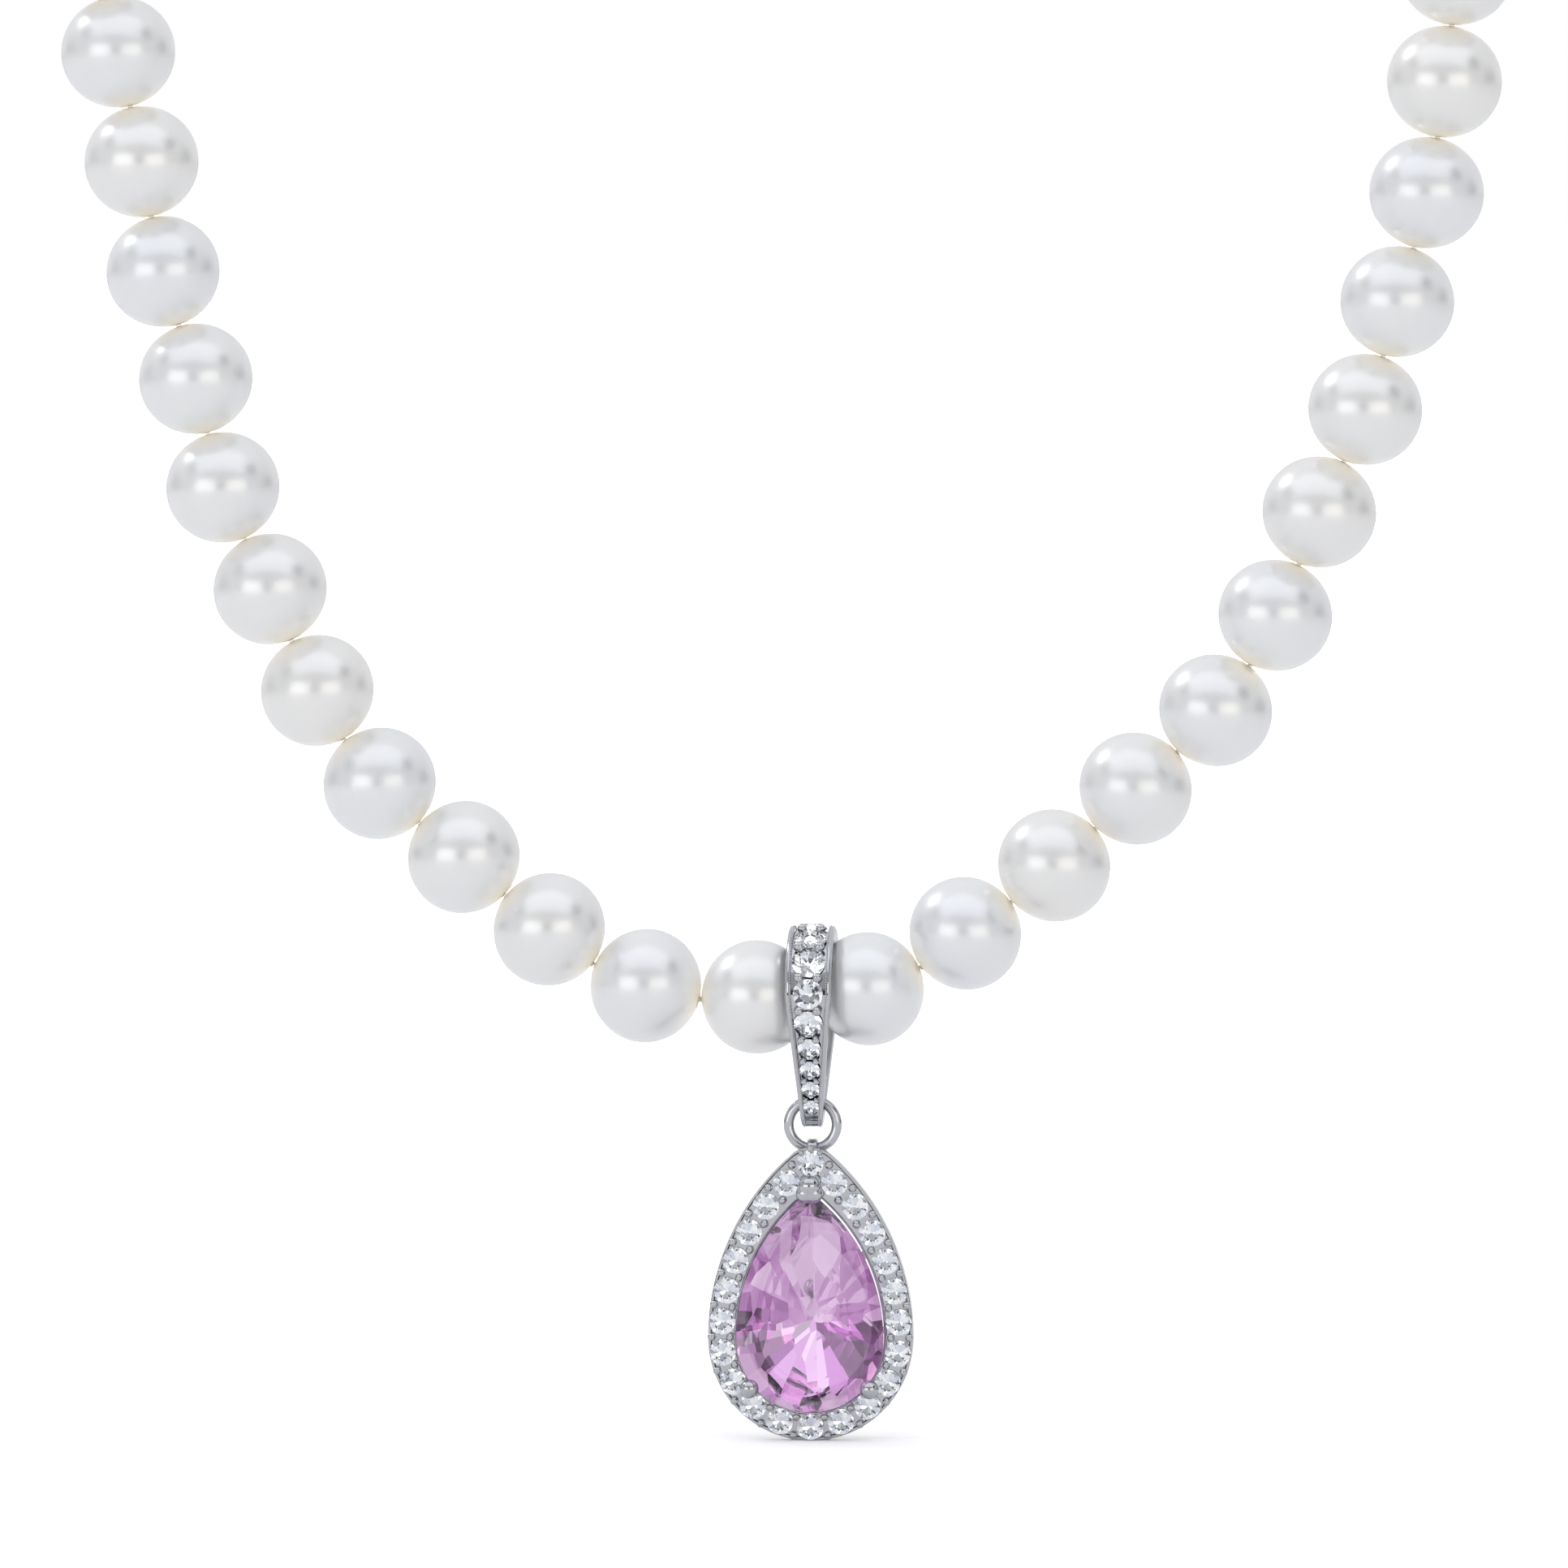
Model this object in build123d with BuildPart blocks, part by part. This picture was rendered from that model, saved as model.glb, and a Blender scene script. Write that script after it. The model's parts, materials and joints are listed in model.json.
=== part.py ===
# Pearl necklace with a pear-shaped halo pendant, in millimetres.
#
# The strand lies in the XZ plane, its front faces -Y, and the pendant hangs at the bottom.
# The origin is at the inside of the strand's top, where a neck or a peg carries it.
# The strand is cut into level rows of two pearls, so that it folds forwards and backwards
# about the line through the two thread crossings of each row.
from build123d import *

import os
from math import asin, atan, atan2, cos, degrees, pi, radians, sin, sqrt

os.makedirs("parts", exist_ok=True)

# ---------------------------------------------------------------- driving dimensions
# pearls and stringing thread
PEARL_DIAMETER = 7.78         # across the drill hole
PEARL_LENGTH = 7.54           # along the drill hole
DRILL_DIAMETER = 1.0
STRAND_GAP = 0.05             # between neighbouring pearls
THREAD_DIAMETER = 0.36
THREAD_PLAY = 0.02            # at each thread crossing that hinges
THREAD_BEND = 1.0             # radius where the thread turns from one pearl into the next
# lean of each step from one pearl to the next, in degrees above level, going up each side
FRONT_LEAN = 4.5              # the step under the bail, rising to the right
LEFT_LEANS = (5.5, 30, 40, 41, 56, 65, 65, 76, 73, 79, 78, 77, 80, 84, 88)
RIGHT_LEANS = (30, 37.5, 43.5, 44.5, 58, 67, 66, 73.5, 75, 81, 84, 86, 88, 89)
NECK_PEARLS_A_SIDE = 9        # over the neck, between the last row and the clasp
NECK_HALF_ARC = (30, 170)     # degrees between which half of the neck's arc is looked for

# bail: a tapered strap bent into a teardrop loop
BAIL_CLEARANCE = 0.35         # over the pearls' shoulders
BAIL_WIDTH_TOP = 3.15
BAIL_WIDTH_BOTTOM = 1.45
BAIL_WALL = 1.05              # at the crest
BAIL_FOOT_DROP = 9.15         # strand centre to the foot
BAIL_FOOT_RADIUS = 1.3
BAIL_FOOT_WALL = 1.15
BAIL_FOOT_BORE = 0.6          # inside radius at the foot
BAIL_STONES = (2.0, 2.1, 2.15, 2.0, 1.85, 1.47, 1.3, 1.2, 1.03)
BAIL_STONE_GAP = 0.24
BAIL_BEAD = 0.42
BAIL_BEAD_SHARE = 0.33        # of the smaller stone's diameter, from the middle to each bead
BAIL_BEAD_BESIDE = 0.05       # added to that share
BAIL_SEAT_SHARE = 0.45        # of the stone's diameter, down to the seat's floor

# jump ring between the bail and the pendant
RING_RADIUS = 1.63            # of the wire's centre line
RING_WIRE = 0.7
RING_DROP = 8.93              # strand centre to the ring's centre

# round brilliants, as shares of the girdle's radius, with a plain girdle band
BRILLIANT_TABLE = 0.56
BRILLIANT_CROWN = 0.32
BRILLIANT_PAVILION = 0.84
BRILLIANT_GIRDLE = 0.06       # height of the band

# pear stone, halo and claw basket; each pear is a half width and a tip height
PEAR_DROP = 23.3              # strand centre to the centre of the pears' round end
STONE_HALF_WIDTH = 5.0
STONE_TIP = 10.0
STONE_CROWN = 1.3
STONE_GIRDLE = 0.25
STONE_PAVILION = 3.9
STONE_TABLE = 0.62            # share of the outline that the table keeps
STONE_KEEL = 0.1              # share of the outline that the pavilion ends in
STONE_CLEARANCE = 0.12
HALO_HALF_WIDTH = STONE_HALF_WIDTH + 1.95
HALO_TIP = STONE_TIP + 3.5
HALO_TIP_ROUNDING = 2.0
HALO_FRONT = -2.0
HALO_THICKNESS = 1.25
HALO_ROW_HALF_WIDTH = STONE_HALF_WIDTH + 1.05
HALO_ROW_TIP = STONE_TIP + 1.9
HALO_STONE_COUNT = 22
HALO_STONE = 1.8
HALO_SEAT_SHARE = 0.3         # of the stone's diameter, down to the seat's floor
HALO_HOLE_SHARE = 0.25        # of the stone's diameter, the radius of the hole behind it
STONE_LIFT = 0.35             # centre stone's girdle in front of the halo's face
PAVE_BEAD = 0.48
PAVE_BEAD_SUNK = 0.06         # bead centre below the metal's face
PAVE_BEAD_SPREAD = 1.3        # between the two beads of a pair
PAVE_BEAD_TO_CLAW = 0.1       # least metal between a bead and a claw's shaft
SEAT_CLEARANCE = 0.03
EYE_WIDTH = 0.7
EYE_WALL = 0.5
EYE_PLAY = 0.2
CLAW_SHAFT = 0.5
CLAW_HEAD = 1.1
CLAW_HEAD_SUNK = 0.05         # head's underside below the top of the stone's girdle
CLAW_OFFSET = 0.32            # claw centre outside the stone's edge
LOW_CLAWS_UP = 3              # halo stones between the bottom one and each low claw's gap
RAIL_SHRINK = 1.0             # lower gallery rail inside the stone's outline
RAIL_WIDTH = 0.8
RAIL_HEIGHT = 0.8
UPPER_RAIL_HEIGHT = 0.5
STRUT_COUNT = 7
STRUT_ROOT = 0.35             # centre of a strut's end below the upper rail's front
GALLERY_DEPTH = 3.2           # halo's back to the back of the lower rail

# clasp: bead tips, link ring, lobster clasp and end ring
CUP_RADIUS = 1.45
CUP_WALL = 0.3
CUP_MOUTH = 1.1
KNOT_RADIUS = 0.8
TIP_LOOP_RADIUS = 1.0
TIP_WIRE = 0.5
LINK_RADIUS = 1.5
LINK_WIRE = 0.6
TAIL_RADIUS = 1.0
TAIL_WIRE = 0.56
TAIL_TO_HOOK = 6.4
HOOK_RADIUS = 2.55
HOOK_WIRE = 1.3
HOOK_BACK_ANGLE = 190         # where the hook's wire meets the block, from the clasp's line
NOSE_REACH = 1.05             # nose's end, ahead of the hook's centre
NOSE_SPARE = 15               # degrees of wire past the nose's end, cut off square
GATE_GAP = 0.2
GATE_WIRE = 1.0
GATE_SPARE = 12               # degrees of wire past the gate's end, cut off square
END_RING_RADIUS = 2.2
END_RING_WIRE = 0.8
LINK_PLAY = 0.05
CLASP_THICKNESS = 2.0
BLOCK_INSET = 0.95            # block's front end inside the hook's centre line
BLOCK_CORNER = 0.9
LEVER_PIVOT = (-2.0, -2.2)    # from the hook's centre
LEVER_HEEL = 0.75             # radius round the pivot
LEVER_SLOT = 1.1
SLOT_CORNER = (-1.2, 1.7)     # slot's back upper corner, from the pivot
SLOT_SPARE = (1.6, 1.0)       # slot's width and height past the heel's
LEVER_PIN = 0.5
PIN_PLAY = 0.05
THUMB_OFFSET = (0.9, -0.75)   # thumb tab, from the pivot
THUMB_RADIUS = 0.55
SPRING_CORNER = (-1.15, 1.6)  # spring's back upper corner, from the pivot
SPRING_LEAF = 0.2             # thickness
SPRING_HEIGHT = 1.8
SPRING_FOOT = 0.9             # length along the slot's roof

# ---------------------------------------------------------------- strand layout
PITCH = PEARL_LENGTH + STRAND_GAP


def rise(lean, side):
    """One pitch at the given lean, to the left (-1) or the right (+1)."""
    return Vector(side * cos(radians(lean)), 0, sin(radians(lean))) * PITCH


def climb(start, leans, side):
    """Pearl centres from start upwards, one for each lean after the first."""
    centres = [start]
    for lean in leans:
        centres.append(centres[-1] + rise(lean, side))
    return centres


def clasp_places():
    """Places of the clasp's pieces along its own line, measured from the left end pearl."""
    places = {}
    reach = PEARL_LENGTH / 2 + STRAND_GAP + CUP_RADIUS
    places["left cup"] = reach
    reach += CUP_RADIUS + TIP_LOOP_RADIUS
    places["left loop"] = reach
    reach += TIP_LOOP_RADIUS - TIP_WIRE / 2 - LINK_WIRE / 2 - LINK_PLAY + LINK_RADIUS
    places["link"] = reach
    reach += LINK_RADIUS + TAIL_RADIUS - TAIL_WIRE / 2 - LINK_WIRE / 2 - LINK_PLAY
    places["tail"] = reach
    reach += TAIL_TO_HOOK
    places["hook"] = reach
    reach += HOOK_RADIUS - HOOK_WIRE / 2 - END_RING_WIRE / 2 - LINK_PLAY + END_RING_RADIUS
    places["end ring"] = reach
    reach += END_RING_RADIUS + TIP_LOOP_RADIUS - TIP_WIRE / 2 - END_RING_WIRE / 2 - LINK_PLAY
    places["right loop"] = reach
    reach += TIP_LOOP_RADIUS + CUP_RADIUS
    places["right cup"] = reach
    reach += CUP_RADIUS + STRAND_GAP + PEARL_LENGTH / 2
    places["right pearl"] = reach
    return places


CLASP = clasp_places()


def neck_half_angle(span, steps):
    """Half the angle of the arc over the neck that the steps and the clasp just fill."""
    low, high = (radians(limit) for limit in NECK_HALF_ARC)
    while high - low > 1e-12:
        middle = (low + high) / 2
        radius = span / (2 * sin(middle))
        filled = steps * asin(PITCH / (2 * radius)) + asin(CLASP["right pearl"] / (2 * radius))
        if filled > middle:
            low = middle
        else:
            high = middle
    return middle


def neck_arc(left, right, steps_a_side):
    """Pearl centres over the neck, on a circle through both shoulder pearls."""
    across = right - left
    half_angle = neck_half_angle(across.length, 2 * steps_a_side)
    radius = across.length / (2 * sin(half_angle))
    up = Vector(-across.Z, 0, across.X).normalized()
    centre = (left + right) / 2 - up * radius * cos(half_angle)
    step = 2 * asin(PITCH / (2 * radius))

    def on_circle(start, side, count):
        spoke = start - centre
        angle = atan2(spoke.Z, spoke.X)
        turned = [angle - side * step * k for k in range(1, count + 1)]
        return [centre + Vector(cos(a), 0, sin(a)) * radius for a in turned]

    return on_circle(left, 1, steps_a_side), on_circle(right, -1, steps_a_side)


front_left = rise(FRONT_LEAN, 1) * -0.5
front_right = rise(FRONT_LEAN, 1) * 0.5
left_side = climb(front_left, LEFT_LEANS, -1)
right_side = climb(front_right, RIGHT_LEANS, 1)
over_left, over_right = neck_arc(left_side[-1], right_side[-1], NECK_PEARLS_A_SIDE)
left_side = left_side + over_left
right_side = right_side + over_right

# the origin moves to the inside of the strand's top, under the middle of the clasp
clasp_line = (right_side[-1] - left_side[-1]).normalized()
clasp_inward = Vector(clasp_line.Z, 0, -clasp_line.X)
neck_point = (left_side[-1] + right_side[-1]) / 2 + clasp_inward * PEARL_DIAMETER / 2
left_side = [centre - neck_point for centre in left_side]
right_side = [centre - neck_point for centre in right_side]
strand_middle = Vector(0, 0, 0) - neck_point


def mean_direction(before, centre, after):
    """Drill direction of a pearl: half way between its two steps."""
    return ((centre - before).normalized() + (after - centre).normalized()).normalized()


def drill_directions(side, other_foot, along_clasp):
    """Drill direction of every pearl of a side, from its foot up and on along the clasp."""
    ends = [other_foot] + side + [side[-1] + along_clasp]
    return [mean_direction(*ends[k:k + 3]) for k in range(len(side))]


left_drill = drill_directions(left_side, right_side[0], clasp_line)
right_drill = drill_directions(right_side, left_side[0], clasp_line * -1)


def crossings(side, drill):
    """Where the thread crosses from each pearl to the next one up."""
    half = PEARL_LENGTH / 2
    return [
        (side[k] + drill[k] * half + side[k + 1] - drill[k + 1] * half) / 2
        for k in range(len(side) - 1)
    ]


left_cross = crossings(left_side, left_drill)
right_cross = crossings(right_side, right_drill)
front_cross = (left_side[0] + right_side[0] - (left_drill[0] + right_drill[0]) * PEARL_LENGTH / 2) / 2

# rows from the top down: (pearl number on the left, pearl number on the right)
ROWS = [(k + 2, k + 1) for k in range(len(RIGHT_LEANS) - 2, -1, -1)]
# fold axes from the top down: the crossing above each row, then the one above the front pearls
FOLDS = [(left_cross[left], right_cross[right]) for left, right in ROWS]
FOLDS.append((left_cross[1], right_cross[0]))


# ---------------------------------------------------------------- helpers
def save(piece, node):
    """Name a finished piece and write its file."""
    piece.part.label = node
    export_step(piece.part, f"parts/{node}.step")


def string_pearls(node, pearls):
    """Drilled pearls, each a revolved half ellipse beside its drill hole."""
    with BuildPart() as strung:
        for centre, drill in pearls:
            with BuildSketch(Plane(origin=centre, x_dir=drill, z_dir=(0, -1, 0))):
                Ellipse(PEARL_LENGTH / 2, PEARL_DIAMETER / 2)
                with Locations((0, DRILL_DIAMETER / 2)):
                    Rectangle(PEARL_LENGTH, PEARL_DIAMETER, align=(Align.CENTER, Align.MAX),
                              mode=Mode.SUBTRACT)
            revolve(axis=Axis(centre, drill))
    save(strung, node)


def lay_thread(node, runs):
    """Thread through each run of points, stopped short of a hinging crossing at both ends."""
    with BuildPart() as thread:
        for run in runs:
            start = run[0] + (run[1] - run[0]).normalized() * THREAD_PLAY
            end = run[-1] + (run[-2] - run[-1]).normalized() * THREAD_PLAY
            points = [start] + list(run[1:-1]) + [end]
            with BuildLine() as route:
                if len(points) == 2:
                    Line(*points)
                else:
                    FilletPolyline(*points, radius=THREAD_BEND)
            with BuildSketch(Plane(origin=start, z_dir=points[1] - start)):
                Circle(THREAD_DIAMETER / 2)
            sweep(path=route.wire())
    save(thread, node)


def torus_arc(plane, radius, wire, start_angle=0, arc=360, mode=Mode.ADD):
    """Round wire bent to a ring, or part of one, in the plane's XY."""
    start = radians(start_angle)
    spoke = plane.x_dir * cos(start) + plane.y_dir * sin(start)
    section = Plane(origin=plane.origin + spoke * radius, x_dir=spoke, z_dir=plane.z_dir.cross(spoke))
    with BuildSketch(section) as wire_end:
        Circle(wire / 2)
    revolve(wire_end.sketch, axis=Axis(plane.origin, plane.z_dir), revolution_arc=arc, mode=mode)


def brilliants(node, seats):
    """Round stones, each a revolved profile of table, crown, girdle and pavilion."""
    with BuildPart() as stones:
        for seat, diameter in seats:
            girdle = diameter / 2
            with BuildSketch(Plane(origin=seat.origin, x_dir=seat.x_dir, z_dir=-seat.y_dir)):
                with BuildLine():
                    Polyline((0, girdle * BRILLIANT_CROWN),
                             (girdle * BRILLIANT_TABLE, girdle * BRILLIANT_CROWN),
                             (girdle, BRILLIANT_GIRDLE), (girdle, 0),
                             (0, -girdle * BRILLIANT_PAVILION), close=True)
                make_face()
            revolve(axis=Axis(seat.origin, seat.z_dir))
    save(stones, node)


def pear(half_width, tip):
    """Face of a pear: a half circle below, and two flank arcs that meet at the tip."""
    flank = (half_width ** 2 + tip ** 2) / (2 * half_width)
    half_turn = atan(half_width / tip)
    knee = Vector(half_width - flank + flank * cos(half_turn), flank * sin(half_turn))
    with BuildLine() as outline:
        ThreePointArc((-half_width, 0), (0, -half_width), (half_width, 0))
        ThreePointArc((half_width, 0), knee, (0, tip))
        ThreePointArc((0, tip), (-knee.X, knee.Y), (-half_width, 0))
    return make_face(outline.edges())


def pear_points(half_width, tip, count):
    """Evenly spaced points round a pear from its tip, each with its outward direction."""
    flank = (half_width ** 2 + tip ** 2) / (2 * half_width)
    flank_turn = 2 * atan(half_width / tip)
    flank_length = flank * flank_turn
    step = 2 * (flank_length + half_width * pi / 2) / count
    points = []
    for k in range(count):
        side = 1 if k <= count / 2 else -1
        along = step * min(k, count - k)
        if along < flank_length:
            turn = flank_turn - along / flank
            out = Vector(cos(turn), sin(turn))
            point = Vector(half_width - flank, 0) + out * flank
        else:
            turn = (along - flank_length) / half_width
            out = Vector(cos(turn), -sin(turn))
            point = out * half_width
        if k == 0:
            out = Vector(0, 1)
        points.append((Vector(side * point.X, point.Y), Vector(side * out.X, out.Y)))
    return points


# ---------------------------------------------------------------- strand
def numbered(pearls, drill, chosen):
    """The chosen pearls of a side, each with its drill direction."""
    return [(pearls[k], drill[k]) for k in chosen]


string_pearls("pearls_front", numbered(left_side, left_drill, (1, 0)) +
              numbered(right_side, right_drill, (0,)))
lay_thread("thread_front", [[left_cross[1], left_cross[0], front_cross, right_cross[0]]])

for row, (left, right) in enumerate(ROWS, start=1):
    string_pearls(f"pearls_row_{row:02d}", numbered(left_side, left_drill, (left,)) +
                  numbered(right_side, right_drill, (right,)))
    lay_thread(f"thread_row_{row:02d}", [[left_cross[left - 1], left_cross[left]],
                                         [right_cross[right - 1], right_cross[right]]])

first_left = len(LEFT_LEANS)
first_right = len(RIGHT_LEANS)
string_pearls("pearls_neck_left", numbered(left_side, left_drill, range(first_left, len(left_side))))
string_pearls("pearls_neck_right",
              numbered(right_side, right_drill, range(first_right, len(right_side))))

# ---------------------------------------------------------------- clasp
def on_clasp(place, normal=(0, -1, 0)):
    """Plane on the clasp's line at a named place, with X along the line."""
    origin = left_side[-1] + clasp_line * CLASP[place]
    return Plane(origin=origin, x_dir=clasp_line, z_dir=normal)


clasp_up = clasp_inward * -1
knot_left = on_clasp("left cup").origin
knot_right = on_clasp("right cup").origin
left_run = left_cross[first_left - 1:] + [left_side[-1] + left_drill[-1] * PEARL_LENGTH / 2]
right_run = right_cross[first_right - 1:] + [right_side[-1] + right_drill[-1] * PEARL_LENGTH / 2]
lay_thread("thread_neck", [left_run + [knot_left - clasp_line * KNOT_RADIUS],
                           right_run + [knot_right + clasp_line * KNOT_RADIUS]])

with BuildPart() as end_knots:
    with Locations(knot_left, knot_right):
        Sphere(KNOT_RADIUS)
save(end_knots, "end_knots")

for side, loop_side in (("left", 1), ("right", -1)):
    cup = on_clasp(f"{side} cup")
    with BuildPart() as bead_tip:
        with Locations(cup.origin):
            Sphere(CUP_RADIUS)
        torus_arc(on_clasp(f"{side} loop"), TIP_LOOP_RADIUS, TIP_WIRE)
        with Locations(cup.origin):
            Sphere(CUP_RADIUS - CUP_WALL, mode=Mode.SUBTRACT)
        with BuildSketch(Plane(origin=cup.origin, z_dir=clasp_line * -loop_side)):
            Circle(CUP_MOUTH / 2)
        extrude(amount=CUP_RADIUS, mode=Mode.SUBTRACT)
    save(bead_tip, f"bead_tip_{side}")

with BuildPart() as link_ring:
    torus_arc(on_clasp("link", clasp_up), LINK_RADIUS, LINK_WIRE)
save(link_ring, "link_ring")

with BuildPart() as end_ring:
    torus_arc(on_clasp("end ring", clasp_up), END_RING_RADIUS, END_RING_WIRE)
save(end_ring, "end_ring")

# lobster clasp, in the plane of its hook: x runs to the nose, y away from the neck
hook = on_clasp("hook")
block_front = -HOOK_RADIUS + BLOCK_INSET
block_back = -TAIL_TO_HOOK + TAIL_RADIUS
block_top = HOOK_WIRE
pivot = Vector(*LEVER_PIVOT)
block_bottom = pivot.Y - LEVER_HEEL
nose_angle = degrees(asin(NOSE_REACH / HOOK_RADIUS)) - 90 - NOSE_SPARE
slot_size = (2 * LEVER_HEEL + SLOT_SPARE[0], 4 * LEVER_HEEL + SLOT_SPARE[1])

with BuildPart() as clasp_body:
    torus_arc(hook, HOOK_RADIUS, HOOK_WIRE, nose_angle, HOOK_BACK_ANGLE - nose_angle)
    with BuildSketch(hook.offset(-CLASP_THICKNESS / 2)):
        with Locations((0, -HOOK_RADIUS)):
            Rectangle(4 * NOSE_REACH, 2 * HOOK_WIRE)
        with Locations((2 * NOSE_REACH, -HOOK_RADIUS)):
            Rectangle(2 * NOSE_REACH, 2 * HOOK_WIRE, mode=Mode.SUBTRACT)
    extrude(amount=CLASP_THICKNESS, mode=Mode.SUBTRACT)
    with BuildSketch(hook.offset(-CLASP_THICKNESS / 2)):
        with Locations(((block_front + block_back) / 2, (block_top + block_bottom) / 2)):
            RectangleRounded(block_front - block_back, block_top - block_bottom, BLOCK_CORNER)
    extrude(amount=CLASP_THICKNESS)
    torus_arc(on_clasp("tail"), TAIL_RADIUS, TAIL_WIRE)
    with BuildSketch(hook.offset(-LEVER_SLOT / 2)):
        with Locations(pivot + Vector(*SLOT_CORNER)):
            Rectangle(*slot_size, align=(Align.MIN, Align.MAX))
    extrude(amount=LEVER_SLOT, mode=Mode.SUBTRACT)
    with BuildSketch(hook.offset(-CLASP_THICKNESS)):
        with Locations(pivot):
            Circle(LEVER_PIN / 2)
    extrude(amount=2 * CLASP_THICKNESS, mode=Mode.SUBTRACT)
save(clasp_body, "clasp_body")

gate_end = NOSE_REACH - GATE_GAP
gate_start_angle = degrees(atan2(pivot.Y, pivot.X))
gate_arc = degrees(asin(gate_end / HOOK_RADIUS)) - 90 - gate_start_angle + GATE_SPARE
with BuildPart() as clasp_lever:
    torus_arc(hook, HOOK_RADIUS, GATE_WIRE, gate_start_angle, gate_arc)
    with BuildSketch(hook.offset(-GATE_WIRE)):
        with Locations((gate_end, 0)):
            Rectangle(HOOK_RADIUS, 3 * HOOK_RADIUS, align=(Align.MIN, Align.CENTER))
    extrude(amount=2 * GATE_WIRE, mode=Mode.SUBTRACT)
    with BuildSketch(hook.offset(-GATE_WIRE / 2)):
        with Locations(pivot):
            Circle(LEVER_HEEL)
        with Locations(pivot + Vector(*THUMB_OFFSET)):
            Circle(THUMB_RADIUS)
    extrude(amount=GATE_WIRE)
    with BuildSketch(hook.offset(-CLASP_THICKNESS)):
        with Locations(pivot):
            Circle(LEVER_PIN / 2 + PIN_PLAY)
    extrude(amount=2 * CLASP_THICKNESS, mode=Mode.SUBTRACT)
save(clasp_lever, "clasp_lever")

with BuildPart() as lever_pin:
    with BuildSketch(hook.offset(-CLASP_THICKNESS / 2)):
        with Locations(pivot):
            Circle(LEVER_PIN / 2 - SEAT_CLEARANCE / 2)
    extrude(amount=CLASP_THICKNESS)
save(lever_pin, "lever_pin")

with BuildPart() as lever_spring:
    with BuildSketch(hook.offset(-GATE_WIRE / 2)):
        with Locations(pivot + Vector(*SPRING_CORNER)):
            Rectangle(SPRING_LEAF, SPRING_HEIGHT, align=(Align.MIN, Align.MAX))
            Rectangle(SPRING_FOOT, SPRING_LEAF, align=(Align.MIN, Align.MAX))
    extrude(amount=GATE_WIRE)
save(lever_spring, "lever_spring")

# ---------------------------------------------------------------- bail
# the bore clears each front pearl where the bail's edge crosses its ellipse
shoulder = (PITCH - BAIL_WIDTH_TOP) / PEARL_LENGTH
bail_bore = PEARL_DIAMETER / 2 * sqrt(1 - shoulder ** 2) + BAIL_CLEARANCE
bail_crest = bail_bore + BAIL_WALL
foot_centre = BAIL_FOOT_DROP - BAIL_FOOT_RADIUS
bore_foot_centre = BAIL_FOOT_DROP - BAIL_FOOT_WALL - BAIL_FOOT_BORE


def teardrop(top_radius, foot_radius, drop):
    """Face of a teardrop: a large circle over a small one, joined by their outer tangents."""
    slant = asin((top_radius - foot_radius) / drop)
    top_knee = Vector(cos(slant), -sin(slant)) * top_radius
    foot_knee = Vector(cos(slant), -sin(slant)) * foot_radius - Vector(0, drop)
    with BuildLine() as outline:
        ThreePointArc((-top_knee.X, top_knee.Y), (0, top_radius), top_knee)
        Line(top_knee, foot_knee)
        ThreePointArc(foot_knee, (0, -drop - foot_radius), (-foot_knee.X, foot_knee.Y))
        Line((-foot_knee.X, foot_knee.Y), (-top_knee.X, top_knee.Y))
    return make_face(outline.edges())


def bail_front(along):
    """Plane on the bail's front, at a distance from its crest; Z points out, X to the right."""
    slant = asin((bail_crest - BAIL_FOOT_RADIUS) / foot_centre)
    bend = min(along / bail_crest, pi / 2 + slant)
    out = Vector(0, -sin(bend), cos(bend))
    down = Vector(0, -cos(bend), -sin(bend))
    straight = max(0, along - bail_crest * (pi / 2 + slant))
    point = strand_middle + out * bail_crest + down * straight
    return Plane(origin=point, x_dir=(1, 0, 0), z_dir=out)


bail_seats = []
reach = 0
for k, diameter in enumerate(BAIL_STONES):
    if k:
        reach += (BAIL_STONES[k - 1] + diameter) / 2 + BAIL_STONE_GAP
    bail_seats.append((bail_front(reach), diameter))

bail_beads = []
reach = 0
for before, after in zip(BAIL_STONES, BAIL_STONES[1:]):
    half_step = (before + after) / 2 + BAIL_STONE_GAP
    spot = bail_front(reach + (before + BAIL_STONE_GAP) / 2)
    spread = BAIL_BEAD_SHARE * min(before, after) + BAIL_BEAD_BESIDE
    root = spot.origin - spot.z_dir * PAVE_BEAD_SUNK
    bail_beads += [root + spot.x_dir * spread, root - spot.x_dir * spread]
    reach += half_step

strand_side = Plane(origin=strand_middle, x_dir=(0, 1, 0), z_dir=(1, 0, 0))
strand_front = Plane(origin=strand_middle, x_dir=(1, 0, 0), z_dir=(0, -1, 0))
with BuildPart() as bail:
    with BuildSketch(strand_side):
        teardrop(bail_crest, BAIL_FOOT_RADIUS, foot_centre)
    extrude(amount=BAIL_WIDTH_TOP / 2, both=True)
    with BuildSketch(strand_side):
        teardrop(bail_bore, BAIL_FOOT_BORE, bore_foot_centre)
    extrude(amount=BAIL_WIDTH_TOP / 2, both=True, mode=Mode.SUBTRACT)
    with BuildSketch(strand_front):
        Polygon((-BAIL_WIDTH_TOP / 2, bail_crest), (-BAIL_WIDTH_TOP / 2, 0),
                (-BAIL_WIDTH_BOTTOM / 2, -BAIL_FOOT_DROP), (BAIL_WIDTH_BOTTOM / 2, -BAIL_FOOT_DROP),
                (BAIL_WIDTH_TOP / 2, 0), (BAIL_WIDTH_TOP / 2, bail_crest), align=None)
    extrude(amount=2 * bail_crest, both=True, mode=Mode.INTERSECT)
    for seat, diameter in bail_seats:
        with Locations(seat):
            Cylinder(diameter / 2 + SEAT_CLEARANCE, diameter * BAIL_SEAT_SHARE,
                     align=(Align.CENTER, Align.CENTER, Align.MAX), mode=Mode.SUBTRACT)
    with Locations(*bail_beads):
        Sphere(BAIL_BEAD / 2)
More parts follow.
